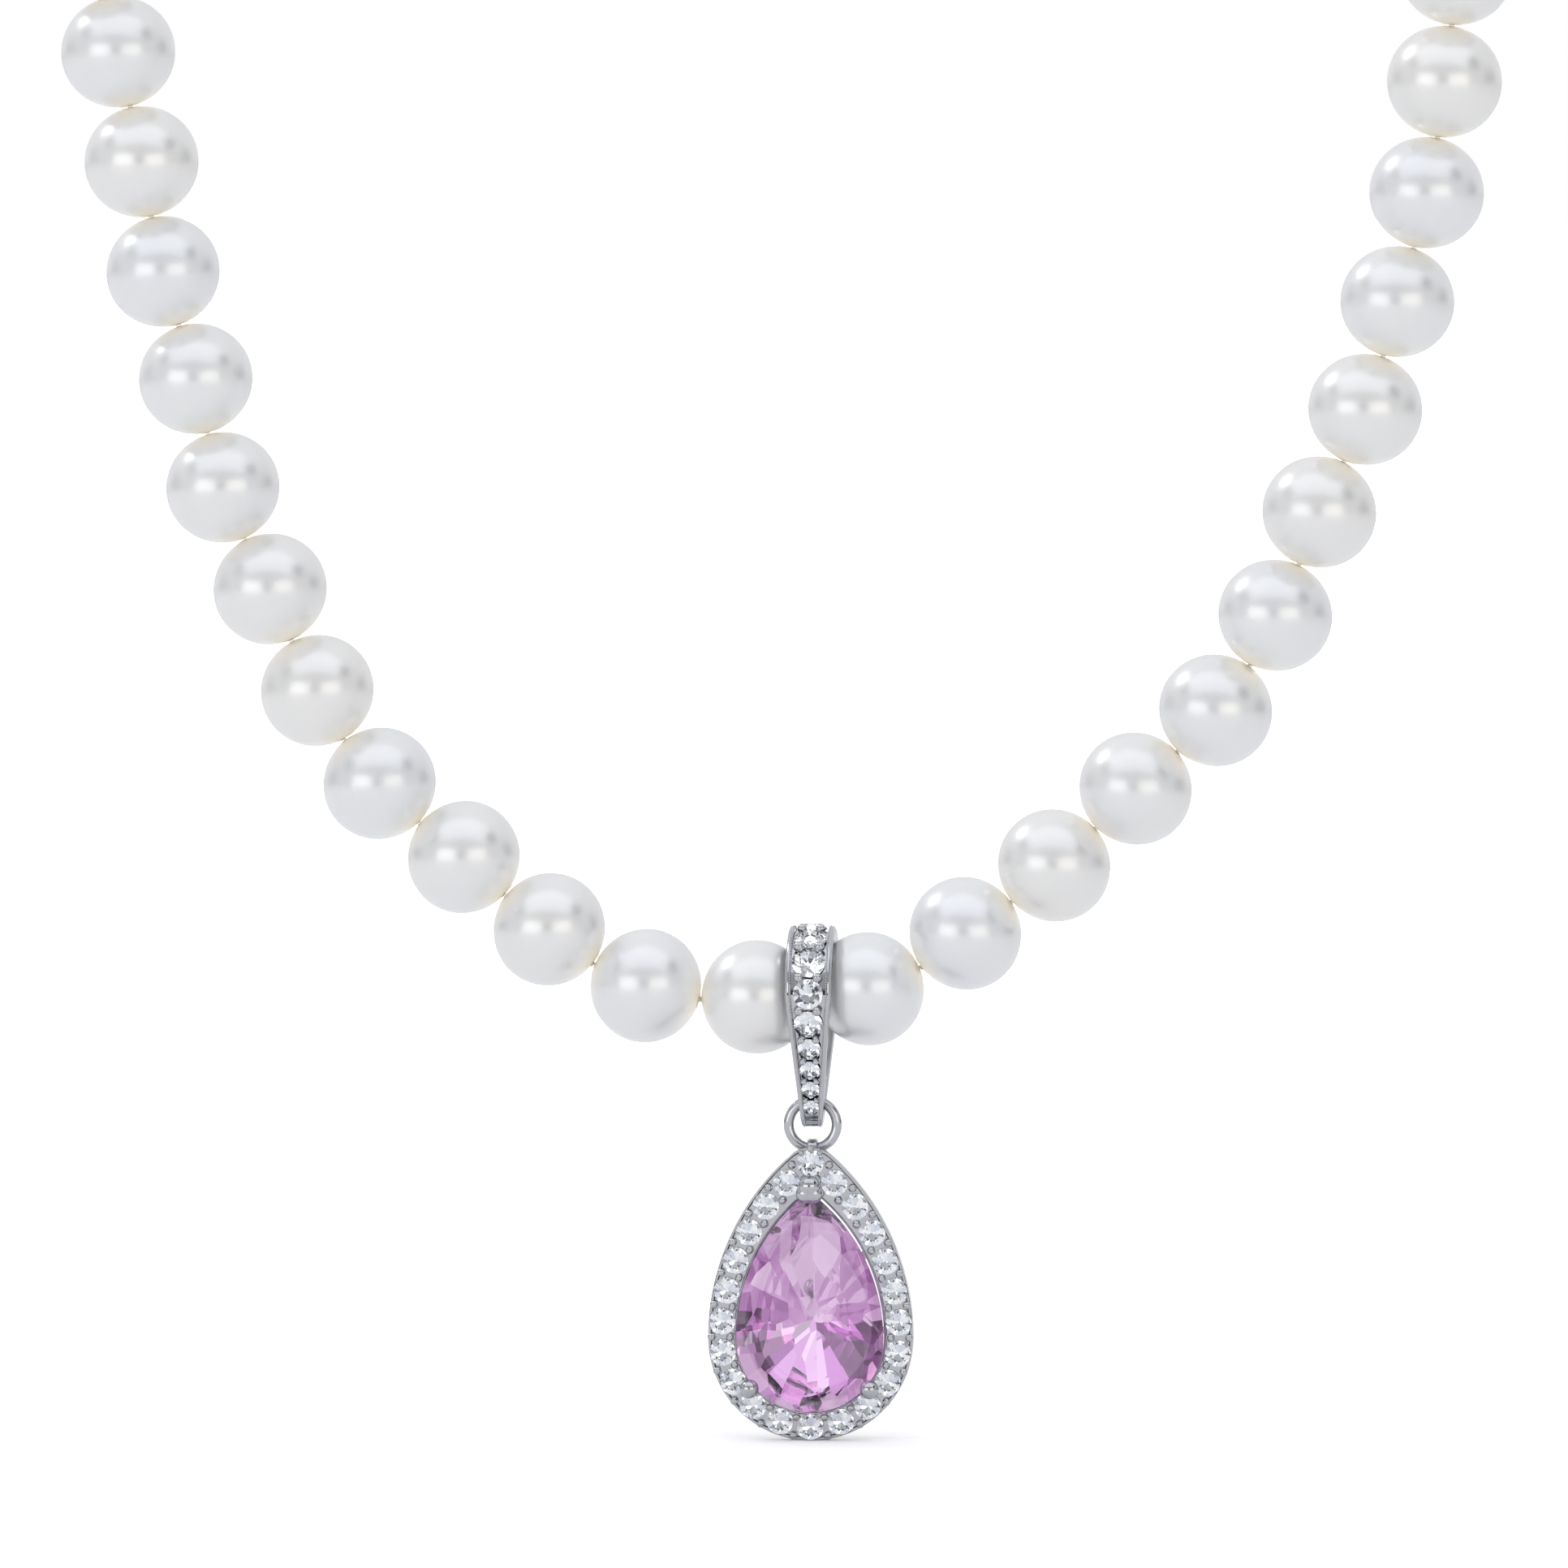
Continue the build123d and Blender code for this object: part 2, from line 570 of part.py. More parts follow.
save(bail, "bail")

brilliants("bail_stones", bail_seats)

with BuildPart() as jump_ring:
    ring_plane = Plane(origin=strand_middle - Vector(0, 0, RING_DROP), z_dir=(0, -1, 0))
    torus_arc(ring_plane, RING_RADIUS, RING_WIRE, start_angle=90)
save(jump_ring, "jump_ring")

# ---------------------------------------------------------------- pendant
pear_plane = Plane(origin=strand_middle - Vector(0, 0, PEAR_DROP), x_dir=(1, 0, 0), z_dir=(0, -1, 0))
halo_face = pear_plane.offset(-HALO_FRONT)
halo_back = halo_face.offset(-HALO_THICKNESS)
girdle_plane = halo_face.offset(STONE_LIFT)
eye_centre = PEAR_DROP - RING_DROP - RING_RADIUS
eye_hole = RING_WIRE / 2 + EYE_PLAY

stone_spots = [point for point, _ in
               pear_points(HALO_ROW_HALF_WIDTH, HALO_ROW_TIP, HALO_STONE_COUNT)]
bead_spots = pear_points(HALO_ROW_HALF_WIDTH, HALO_ROW_TIP, 2 * HALO_STONE_COUNT)[1::2]


def claw_spot(index):
    """Point just outside the stone's edge, nearest to the gap after a halo stone."""
    point, _ = bead_spots[index]
    return point.normalized() * (STONE_HALF_WIDTH + CLAW_OFFSET)


low_claw = HALO_STONE_COUNT // 2 - LOW_CLAWS_UP
claw_spots = [Vector(0, STONE_TIP + CLAW_OFFSET), claw_spot(low_claw),
              claw_spot(HALO_STONE_COUNT - 1 - low_claw)]


def on_halo_face(spot, ahead=0):
    """Place of a spot on the halo's face, or ahead of it."""
    return halo_face.offset(ahead).from_local_coords(Vector(spot.X, spot.Y, 0))


def clear_of_claws(spot):
    """Whether a bead stands clear of every claw's shaft."""
    room = (CLAW_SHAFT + PAVE_BEAD) / 2 + PAVE_BEAD_TO_CLAW
    return all((spot - claw).length > room for claw in claw_spots)


pave_beads = [point + out * reach for point, out in bead_spots
              for reach in (-PAVE_BEAD_SPREAD / 2, PAVE_BEAD_SPREAD / 2)]
pave_beads = [spot for spot in pave_beads if clear_of_claws(spot)]

with BuildPart() as halo_frame:
    with BuildSketch(halo_back):
        pear(HALO_HALF_WIDTH, HALO_TIP)
    extrude(amount=HALO_THICKNESS)
    fillet(halo_frame.edges().filter_by(Axis.Y).sort_by(Axis.Z)[-1], HALO_TIP_ROUNDING)
    with BuildSketch(halo_back):
        pear(STONE_HALF_WIDTH + STONE_CLEARANCE, STONE_TIP + STONE_CLEARANCE)
    extrude(amount=HALO_THICKNESS, mode=Mode.SUBTRACT)
    with BuildSketch(halo_back):
        with Locations(*claw_spots):
            Circle(CLAW_SHAFT / 2 + SEAT_CLEARANCE)
    extrude(amount=HALO_THICKNESS, mode=Mode.SUBTRACT)
    with BuildSketch(halo_face):
        with Locations(*stone_spots):
            Circle(HALO_STONE / 2 + SEAT_CLEARANCE)
    extrude(amount=-HALO_STONE * HALO_SEAT_SHARE, mode=Mode.SUBTRACT)
    with BuildSketch(halo_back):
        with Locations(*stone_spots):
            Circle(HALO_STONE * HALO_HOLE_SHARE)
    extrude(amount=HALO_THICKNESS, mode=Mode.SUBTRACT)
    with Locations(*[on_halo_face(spot, -PAVE_BEAD_SUNK) for spot in pave_beads]):
        Sphere(PAVE_BEAD / 2)
    with BuildSketch(Plane(origin=pear_plane.origin, x_dir=(0, 1, 0), z_dir=(1, 0, 0))):
        with Locations((0, eye_centre)):
            Circle(eye_hole + EYE_WALL)
    extrude(amount=EYE_WIDTH / 2, both=True)
    with BuildSketch(Plane(origin=pear_plane.origin, x_dir=(0, 1, 0), z_dir=(1, 0, 0))):
        with Locations((0, eye_centre)):
            Circle(eye_hole)
    extrude(amount=EYE_WIDTH, both=True, mode=Mode.SUBTRACT)
save(halo_frame, "halo_frame")

brilliants("halo_stones", [
    (Plane(origin=on_halo_face(point), x_dir=(1, 0, 0), z_dir=(0, -1, 0)), HALO_STONE)
    for point in stone_spots])

with BuildPart() as centre_stone:
    with BuildSketch(girdle_plane):
        pear(STONE_HALF_WIDTH, STONE_TIP)
    extrude(amount=STONE_GIRDLE)
    with BuildSketch(girdle_plane.offset(STONE_GIRDLE)):
        pear(STONE_HALF_WIDTH, STONE_TIP)
    with BuildSketch(girdle_plane.offset(STONE_GIRDLE + STONE_CROWN)):
        pear(STONE_HALF_WIDTH * STONE_TABLE, STONE_TIP * STONE_TABLE)
    loft(ruled=True)
    with BuildSketch(girdle_plane.offset(-STONE_PAVILION)):
        pear(STONE_HALF_WIDTH * STONE_KEEL, STONE_TIP * STONE_KEEL)
    with BuildSketch(girdle_plane):
        pear(STONE_HALF_WIDTH, STONE_TIP)
    loft(ruled=True)
save(centre_stone, "centre_stone")

rail_back = halo_back.offset(-GALLERY_DEPTH)
upper_rail = (STONE_HALF_WIDTH + CLAW_OFFSET + CLAW_SHAFT, STONE_TIP + CLAW_OFFSET + CLAW_SHAFT)
lower_rail = (STONE_HALF_WIDTH - RAIL_SHRINK, STONE_TIP - 2 * RAIL_SHRINK)
strut_spots = [point for point, _ in pear_points(STONE_HALF_WIDTH + CLAW_OFFSET,
                                                   STONE_TIP + CLAW_OFFSET, STRUT_COUNT)]
foot_spots = [point for point, _ in pear_points(lower_rail[0] - RAIL_WIDTH / 2,
                                                  lower_rail[1] - RAIL_WIDTH, STRUT_COUNT)]
head_centre = STONE_LIFT + STONE_GIRDLE + CLAW_HEAD / 2 - CLAW_HEAD_SUNK


def rod(start, end, diameter):
    """Straight round wire between two points."""
    with BuildSketch(Plane(origin=start, z_dir=end - start)) as wire_end:
        Circle(diameter / 2)
    extrude(wire_end.sketch, amount=(end - start).length)


with BuildPart() as claw_basket:
    with BuildSketch(rail_back):
        pear(*lower_rail)
    extrude(amount=RAIL_HEIGHT)
    with BuildSketch(rail_back):
        pear(lower_rail[0] - RAIL_WIDTH, lower_rail[1] - 2 * RAIL_WIDTH)
    extrude(amount=RAIL_HEIGHT, mode=Mode.SUBTRACT)
    with BuildSketch(halo_back.offset(-UPPER_RAIL_HEIGHT)):
        pear(*upper_rail)
    extrude(amount=UPPER_RAIL_HEIGHT)
    with BuildSketch(halo_back.offset(-UPPER_RAIL_HEIGHT)):
        pear(STONE_HALF_WIDTH - STONE_CLEARANCE, STONE_TIP - STONE_CLEARANCE)
    extrude(amount=UPPER_RAIL_HEIGHT, mode=Mode.SUBTRACT)
    for spot, foot in zip(strut_spots, foot_spots):
        top = on_halo_face(spot, -HALO_THICKNESS - STRUT_ROOT)
        bottom = on_halo_face(foot, -HALO_THICKNESS - GALLERY_DEPTH + RAIL_HEIGHT / 2)
        rod(top, bottom, CLAW_SHAFT)
    for spot in claw_spots:
        root = on_halo_face(spot, -HALO_THICKNESS - UPPER_RAIL_HEIGHT / 2)
        head = on_halo_face(spot, head_centre)
        rod(root, head, CLAW_SHAFT)
        with Locations(head):
            Sphere(CLAW_HEAD / 2)
save(claw_basket, "claw_basket")

print("strand middle", [round(v, 3) for v in strand_middle])
print("pearls", len(left_side) + len(right_side), "clasp span", round(CLASP["right pearl"], 2))
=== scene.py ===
"""Pearl necklace with a pear halo pendant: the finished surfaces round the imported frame.

The file is laid out as an add-on and is run as a script. Meshes are in metres; the sizes below
are in millimetres, and MM turns one into the other. The front of the necklace faces -Y.
"""
import json
from functools import cache
from math import asin, atan2, cos, pi, radians, sin, sqrt, tan

import bmesh
import bpy
import numpy as np
from bpy.props import FloatProperty, IntProperty, PointerProperty, StringProperty
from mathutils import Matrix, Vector


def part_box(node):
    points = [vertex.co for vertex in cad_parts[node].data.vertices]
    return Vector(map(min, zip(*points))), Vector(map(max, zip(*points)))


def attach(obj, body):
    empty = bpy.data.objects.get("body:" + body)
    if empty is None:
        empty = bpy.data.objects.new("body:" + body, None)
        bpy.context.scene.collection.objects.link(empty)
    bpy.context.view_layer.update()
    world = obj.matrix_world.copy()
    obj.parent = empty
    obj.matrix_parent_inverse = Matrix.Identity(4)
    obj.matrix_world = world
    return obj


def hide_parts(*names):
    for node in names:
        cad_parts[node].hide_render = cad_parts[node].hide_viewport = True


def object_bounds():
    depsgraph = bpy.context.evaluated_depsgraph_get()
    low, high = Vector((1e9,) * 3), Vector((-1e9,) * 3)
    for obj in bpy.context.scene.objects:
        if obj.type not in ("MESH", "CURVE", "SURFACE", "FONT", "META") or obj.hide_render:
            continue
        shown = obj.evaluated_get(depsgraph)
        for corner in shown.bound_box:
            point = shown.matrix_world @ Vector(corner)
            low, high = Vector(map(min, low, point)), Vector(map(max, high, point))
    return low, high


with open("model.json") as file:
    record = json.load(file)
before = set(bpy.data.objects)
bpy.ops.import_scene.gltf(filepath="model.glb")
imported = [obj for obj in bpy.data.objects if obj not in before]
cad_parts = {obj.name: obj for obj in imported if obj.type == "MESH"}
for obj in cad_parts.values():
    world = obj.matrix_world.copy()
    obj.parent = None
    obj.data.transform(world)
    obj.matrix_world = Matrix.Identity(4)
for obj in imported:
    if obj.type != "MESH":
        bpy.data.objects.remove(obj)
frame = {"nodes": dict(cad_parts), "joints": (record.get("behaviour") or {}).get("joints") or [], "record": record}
cad_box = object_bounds()

bl_info = {
    "name": "Pearl necklace",
    "version": (1, 0, 0),
    "blender": (4, 5, 0),
    "location": "3D View > Sidebar > Necklace",
    "description": "Builds the finished surfaces of a pearl necklace with a pear halo pendant",
    "category": "Object",
}

MM = 0.001
TAU = 2 * pi
GOLDEN = 0.618034                   # steps of it spread evenly and never repeat

# a pearl's half sizes across and along its drill hole, and the reach of the painted warm light round the hole: a
# painted reflection of the neighbouring pearl and painted translucent light
PEARL_ACROSS, PEARL_ALONG = 3.89, 3.77
HOLE_LIGHT_REACH = 2.9
WAVE_LENGTH = 3.2                   # of the slight unevenness of a grown pearl

# the bail's walls, foot and taper, as its CAD strap has them
BAIL_WALL, BAIL_FOOT_WALL = 1.05, 1.15
BAIL_FOOT_RADIUS, BAIL_FOOT_BORE = 1.3, 0.6
BAIL_WIDTH_TOP, BAIL_WIDTH_FOOT = 3.15, 1.45
BAIL_TAPER_DROP = 9.15
BAIL_CREST_SHARE, BAIL_FLANK_SHARE = 0.42, 0.86

# pears round the pendant: half width, and the tip's height above the round centre
HALO_HOLE = (5.12, 10.12)
HALO_ROW = (6.05, 11.9)
HALO_HALF_WIDTH = 6.95
HALO_STONES = 22
HALO_FRONT, HALO_BACK = -2.0, -0.75
CLAW_PEAR = (5.32, 10.32)
LOW_CLAW_SHARE = 17 / 44            # of the way round: between the eighth and ninth halo stones
LOWER_RAIL = ((3.2, 6.4), (4.0, 8.0), 1.65, 2.45)
UPPER_RAIL = ((4.88, 9.88), (5.82, 10.82), -0.75, -0.25)
STRUT_FOOT_PEAR = (3.6, 7.2)
STRUTS = 7

# lamps: place about the necklace's middle, width and height in metres, watts, colour.
# The two broad keys leave a narrow gap where the camera stands.
LAMPS = (
    ("overhead softbox", (0.0, -0.35, 0.8), 1.9, 0.9, 3.0, "#F0F4FF"),
    ("high left spot", (-0.6, 0.25, 0.55), 0.2, 0.2, 0.7, "#FFFFFF"),
    ("left key", (-0.64, -1.0, -0.12), 0.9, 1.0, 3.5, "#FFFFFF"),
    ("right key", (0.64, -1.0, -0.12), 0.9, 1.0, 3.1, "#FFFAF0"))
# dark places in the room: direction, where the dark core ends, where it has faded, light left
DARK_PLACES = (
    ((-0.8, -0.2, 0.56), 0.08, 0.26, 0.45),    # stands high on both sides
    ((0.8, -0.2, 0.56), 0.1, 0.3, 0.03),
    ((0.0, -0.99, 0.08), 0.06, 0.18, 0.02),    # the camera
    ((0.95, 0.3, -0.05), 0.12, 0.5, 0.25),     # the open sides
    ((-0.95, 0.3, -0.05), 0.12, 0.5, 0.5))


# ---------------------------------------------------------------- sizes and colours
def length(name, description, default):
    """A length that a user may change."""
    return FloatProperty(name=name, description=description + ", in millimetres", default=default,
                         min=0.0, precision=3)


def colour(name, description, default):
    """An sRGB hex colour that a user may change."""
    return StringProperty(name=name, description=description, default=default)


class NecklaceSizes(bpy.types.PropertyGroup):
    pearl_rings: IntProperty(name="Pearl rings", description="Rings of faces from hole to hole", default=22)
    pearl_spokes: IntProperty(name="Pearl spokes", description="Faces round the hole", default=40)
    drill: length("Drill hole", "Diameter of the hole through a pearl", 1.0)
    waviness: length("Pearl waviness", "How far a grown pearl leaves its round shape", 0.035)
    rail: length("Bail rail", "Width of the polished rail beside the bail's stones", 0.34)
    channel: length("Channel depth", "Depth of the stone channel below its rails", 0.3)
    halo_rim: length("Halo rim", "Width of the polished edge outside the halo's stones", 0.16)
    halo_tip: length("Halo tip", "Height of the halo's unrounded tip above its round centre", 13.5)
    halo_tip_rounding: length("Halo tip rounding", "Radius of the halo's tip", 2.0)
    bead: length("Bead prong", "Diameter of a bead prong between stones", 0.58)
    grain: length("Milled grain", "Diameter of the grains milled along a rail", 0.12)
    claw: length("Claw head", "Diameter of a claw's polished head", 1.3)
    culet_rise: length("Culet rise", "Height of the pear stone's point above its round centre", 1.1)


class NecklaceColours(bpy.types.PropertyGroup):
    nacre: colour("Nacre", "Body colour of the pearls", "#EAEAE8")
    # the warm colour warms whole pearls at random as their own tone, and near the drill holes it is painted light:
    # a painted reflection of the neighbouring pearl and a painted glow
    nacre_warm_and_hole_light: colour("Nacre warmth", "Colour near the drill holes", "#F5EFE2")
    nacre_cool: colour("Nacre overtone", "Overtone that drifts over a pearl", "#E4E6EA")
    silk: colour("Silk", "Colour of the stringing thread", "#EFEAE0")
    rhodium: colour("Rhodium", "Colour of the plated silver", "#BDBEC1")
    steel: colour("Spring steel", "Colour of the pin and spring", "#B9B9BD")
    # lightest and deepest facets: the spread between them is painted light, standing in for the flashes and dark
    # facets of a cut stone; the orchid hue is the pear stone's own
    pink: colour("Orchid", "Lightest facets of the pear stone", "#FCEBFB")
    pink_deep: colour("Deep orchid", "Deepest facets of the pear stone", "#C487C6")
    clear: colour("Clear", "Lightest facets of the round stones", "#FFFFFF")
    clear_deep: colour("Smoke", "Darkest facets of the round stones", "#E2E6EE")
    floor: colour("Floor", "Colour of the floor", "#F4F4F4")


def linear(hex_colour):
    """An sRGB hex colour as the linear RGBA that a shader takes."""
    channels = [int(hex_colour[k:k + 2], 16) / 255 for k in (1, 3, 5)]
    return tuple(c / 12.92 if c <= 0.04045 else ((c + 0.055) / 1.055) ** 2.4 for c in channels) + (1.0,)


# ---------------------------------------------------------------- shared makers
def add_node(tree, kind, settings=None, links=None):
    """Add a node; settings are its attributes or socket values, links are sockets that feed it."""
    node = tree.nodes.new(kind)
    for key, value in (settings or {}).items():
        if isinstance(key, str) and hasattr(node, key):
            setattr(node, key, value)
        else:
            node.inputs[key].default_value = value
    for key, source in (links or {}).items():
        tree.links.new(source, node.inputs[key])
    return node


def new_material(name):
    """An empty node material, its tree and the socket that takes its surface."""
    material = bpy.data.materials.new(name)
    material.use_nodes = True
    tree = material.node_tree
    tree.nodes.clear()
    return material, tree, add_node(tree, "ShaderNodeOutputMaterial").inputs["Surface"]


def linked(name, mesh):
    """A new object at the origin that shows a mesh."""
    piece = bpy.data.objects.new(name, mesh)
    bpy.context.scene.collection.objects.link(piece)
    return piece


def mesh_object(name, points, faces, material=None, smooth=True):
    """A piece from its corner points and faces, in place, with outward normals."""
    mesh = bpy.data.meshes.new(name)
    mesh.from_pydata([tuple(p) for p in points], [], faces)
    shape = bmesh.new()
    shape.from_mesh(mesh)
    bmesh.ops.remove_doubles(shape, verts=shape.verts, dist=1e-7)
    bmesh.ops.recalc_face_normals(shape, faces=shape.faces)
    shape.to_mesh(mesh)
    shape.free()
    if material:
        mesh.materials.append(material)
    mesh.polygons.foreach_set("use_smooth", [smooth] * len(mesh.polygons))
    return linked(name, mesh)


def settle(piece):
    """Put the result of a piece's modifiers into its mesh."""
    graph = bpy.context.evaluated_depsgraph_get()
    mesh = bpy.data.meshes.new_from_object(piece.evaluated_get(graph), depsgraph=graph)
    piece.modifiers.clear()
    piece.data = mesh


def join(name, pieces):
    """One piece from several."""
    with bpy.context.temp_override(active_object=pieces[0], selected_editable_objects=pieces):
        bpy.ops.object.join()
    pieces[0].name = name
    return pieces[0]


def stand_in_for(piece, body, slot, *nodes):
    """Hand a finished piece to the frame: its body and the CAD nodes it replaces. The finish named by slot is not
    used.
    """
    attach(piece, body)
    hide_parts(*nodes)


def seed_points(name, places):
    """Loose points; each carries the direction, size and tone that the shape on it takes."""
    mesh = bpy.data.meshes.new(name)
    mesh.from_pydata([tuple(place[0]) for place in places], [], [])
    facing = mesh.attributes.new("facing", "FLOAT_VECTOR", "POINT")
    facing.data.foreach_set("vector", [c for place in places for c in place[1]])
    for key, column in (("size", 2), ("tone", 3)):
        values = mesh.attributes.new(key, "FLOAT", "POINT")
        values.data.foreach_set("value", [place[column] for place in places])
    return linked(name, mesh)


def grow(name, seeds, tree, inputs):
    """Run a geometry tree on seed points and keep the result as a plain mesh."""
    modifier = seeds.modifiers.new(name, "NODES")
    modifier.node_group = tree
    for item in tree.interface.items_tree:
        if item.in_out == "INPUT" and item.name in inputs:
            modifier[item.identifier] = inputs[item.name]
    settle(seeds)
    seeds.name = name
    return seeds


def repeat_tree(name, shape_name, wavy=False):
    """Geometry tree that sets one shape on every seed point, scaled, turned to face out and spun."""
    tree = bpy.data.node_groups.new(name, "GeometryNodeTree")
    sockets = [("Geometry", "Geometry"), (shape_name, "Object"), ("Finish", "Material")]
    if wavy:
        sockets += [("Waviness", "Float"), ("Wave length", "Float")]
    for label, kind in sockets:
        tree.interface.new_socket(label, in_out="INPUT", socket_type="NodeSocket" + kind)
    tree.interface.new_socket("Geometry", in_out="OUTPUT", socket_type="NodeSocketGeometry")
    start = add_node(tree, "NodeGroupInput").outputs
    facing, size, tone = (
        add_node(tree, "GeometryNodeInputNamedAttribute", {"data_type": kind, "Name": key}).outputs[0]
        for key, kind in (("facing", "FLOAT_VECTOR"), ("size", "FLOAT"), ("tone", "FLOAT")))
    shape = add_node(tree, "GeometryNodeObjectInfo", {"transform_space": "ORIGINAL"},
                     {"Object": start[shape_name]})
    turn = add_node(tree, "FunctionNodeAlignRotationToVector", {"axis": "Z"}, {"Vector": facing})
    placed = add_node(tree, "GeometryNodeInstanceOnPoints", None, {
        "Points": start["Geometry"], "Instance": shape.outputs["Geometry"],
        "Rotation": turn.outputs["Rotation"], "Scale": size})
    angle = add_node(tree, "ShaderNodeMath", {"operation": "MULTIPLY", 1: TAU}, {0: tone})
    about = add_node(tree, "ShaderNodeCombineXYZ", None, {"Z": angle.outputs[0]})
    spun = add_node(tree, "GeometryNodeRotateInstances", {"Local Space": True},
                    {"Instances": placed.outputs["Instances"], "Rotation": about.outputs[0]})
    surface = add_node(tree, "GeometryNodeRealizeInstances", None, {"Geometry": spun.outputs[0]}).outputs[0]
    if wavy:
        place = add_node(tree, "GeometryNodeInputPosition")
        normal = add_node(tree, "GeometryNodeInputNormal")
        per_wave = add_node(tree, "ShaderNodeVectorMath", {"operation": "DIVIDE"},
                            {0: place.outputs[0], 1: start["Wave length"]})
        waves = add_node(tree, "ShaderNodeTexNoise", {
            "noise_dimensions": "4D", "Scale": 1.0, "Detail": 1.0, "W": 3.0}, {"Vector": per_wave.outputs[0]})
        # only inwards, so that no pearl grows past its drilled size
        lowered = add_node(tree, "ShaderNodeMath", {"operation": "SUBTRACT", 1: 1.0}, {0: waves.outputs[0]})
        depth = add_node(tree, "ShaderNodeMath", {"operation": "MULTIPLY"},
                         {0: lowered.outputs[0], 1: start["Waviness"]})
        shift = add_node(tree, "ShaderNodeVectorMath", {"operation": "SCALE"},
                         {0: normal.outputs[0], "Scale": depth.outputs[0]})
        surface = add_node(tree, "GeometryNodeSetPosition", None,
                           {"Geometry": surface, "Offset": shift.outputs[0]}).outputs[0]
    finished = add_node(tree, "GeometryNodeSetMaterial", None,
                        {"Geometry": surface, "Material": start["Finish"]})
    add_node(tree, "NodeGroupOutput", None, {"Geometry": finished.outputs[0]})
    return tree


# ---------------------------------------------------------------- finishes
def nacre_finish(colours):
    """Nacre of a cultured pearl: layered aragonite that gives a soft, deep lustre.

    The metallic share stands for the light that the stacked layers throw back, and the coat for
    the sharper glint of the surface. Patches of cooler overtone drift over each pearl.
    """
    # 5.6 mm patches; the terraces of real nacre are too fine to show, so these are 1.1 mm wide
    patch, terrace = 50 / 9 * MM, 10 / 9 * MM
    material, tree, surface = new_material("white nacre")
    place = add_node(tree, "ShaderNodeTexCoord").outputs["Object"]
    tone, near = (add_node(tree, "ShaderNodeAttribute", {"attribute_name": key}).outputs["Fac"]
                  for key in ("tone", "painted_hole_light"))
    overtone = add_node(tree, "ShaderNodeTexNoise", {"Scale": 1 / patch, "Detail": 2.0}, {"Vector": place})
    drift = add_node(tree, "ShaderNodeMix", {
        "data_type": "RGBA", 6: linear(colours.nacre), 7: linear(colours.nacre_cool)},
        {0: overtone.outputs[0]})
    warmth = add_node(tree, "ShaderNodeMapRange", {"To Max": 0.25}, {"Value": tone})
    body = add_node(tree, "ShaderNodeMix", {"data_type": "RGBA", 7: linear(colours.nacre_warm_and_hole_light)},
                    {0: warmth.outputs[0], 6: drift.outputs[2]})
    # painted light: the base colour turns warm cream near each drill hole, a painted reflection of the
    # neighbouring pearl and painted translucent light where two pearls touch
    rim = add_node(tree, "ShaderNodeMix", {"data_type": "RGBA", 7: linear(colours.nacre_warm_and_hole_light)},
                   {0: near, 6: body.outputs[2]})
    layers = add_node(tree, "ShaderNodeTexNoise", {"Scale": 1 / terrace, "Detail": 3.0}, {"Vector": place})
    relief = add_node(tree, "ShaderNodeBump", {"Strength": 0.03, "Distance": 0.04 * MM},
                      {"Height": layers.outputs[0]})
    gloss = add_node(tree, "ShaderNodeMapRange", {"To Min": 0.285, "To Max": 0.33},
                     {"Value": overtone.outputs[0]})
    # painted glow: a faint warm emission beside the drill hole, where two pearls touch, stands in for light that
    # the thin nacre passes on
    glow = add_node(tree, "ShaderNodeMath", {"operation": "MULTIPLY", 1: 0.2}, {0: near})
    nacre = add_node(tree, "ShaderNodeBsdfPrincipled", {
        "IOR": 1.6, "Metallic": 0.42, "Subsurface Weight": 0.2, "Subsurface Radius": (1.0, 0.9, 0.8),
        "Subsurface Scale": 1.2 * MM, "Coat Weight": 0.5, "Coat Roughness": 0.08, "Coat IOR": 1.5,
        "Emission Color": linear(colours.nacre_warm_and_hole_light)},
        {"Base Color": rim.outputs[2], "Roughness": gloss.outputs[0], "Normal": relief.outputs[0],
         "Emission Strength": glow.outputs[0]})
    tree.links.new(nacre.outputs[0], surface)
    return material


def silk_finish(colours):
    """Twisted silk: two fine plies that catch light in slanting bands."""
    ply = pi / 14 * MM                  # 0.22 mm
    band_scale = pi / 10 / ply          # a wave texture's bands are pi / 10 apart at scale 1
    material, tree, surface = new_material("twisted silk")
    place = add_node(tree, "ShaderNodeTexCoord").outputs["Object"]
    turned = add_node(tree, "ShaderNodeMapping", {"Rotation": (0.6, 0.6, 0.4)}, {"Vector": place})
    twist = add_node(tree, "ShaderNodeTexWave", {"Scale": band_scale, "Distortion": 1.5},
                     {"Vector": turned.outputs[0]})
    shade = add_node(tree, "ShaderNodeMix", {
        "data_type": "RGBA", "blend_type": "MULTIPLY", 0: 0.3, 6: linear(colours.silk)},
        {7: twist.outputs[0]})
    relief = add_node(tree, "ShaderNodeBump", {"Strength": 0.5, "Distance": 0.05 * MM},
                      {"Height": twist.outputs[1]})
    silk = add_node(tree, "ShaderNodeBsdfPrincipled", {"Roughness": 0.6, "IOR": 1.55, "Sheen Weight": 0.4},
                    {"Base Color": shade.outputs[2], "Normal": relief.outputs[0]})
    tree.links.new(silk.outputs[0], surface)
    return material


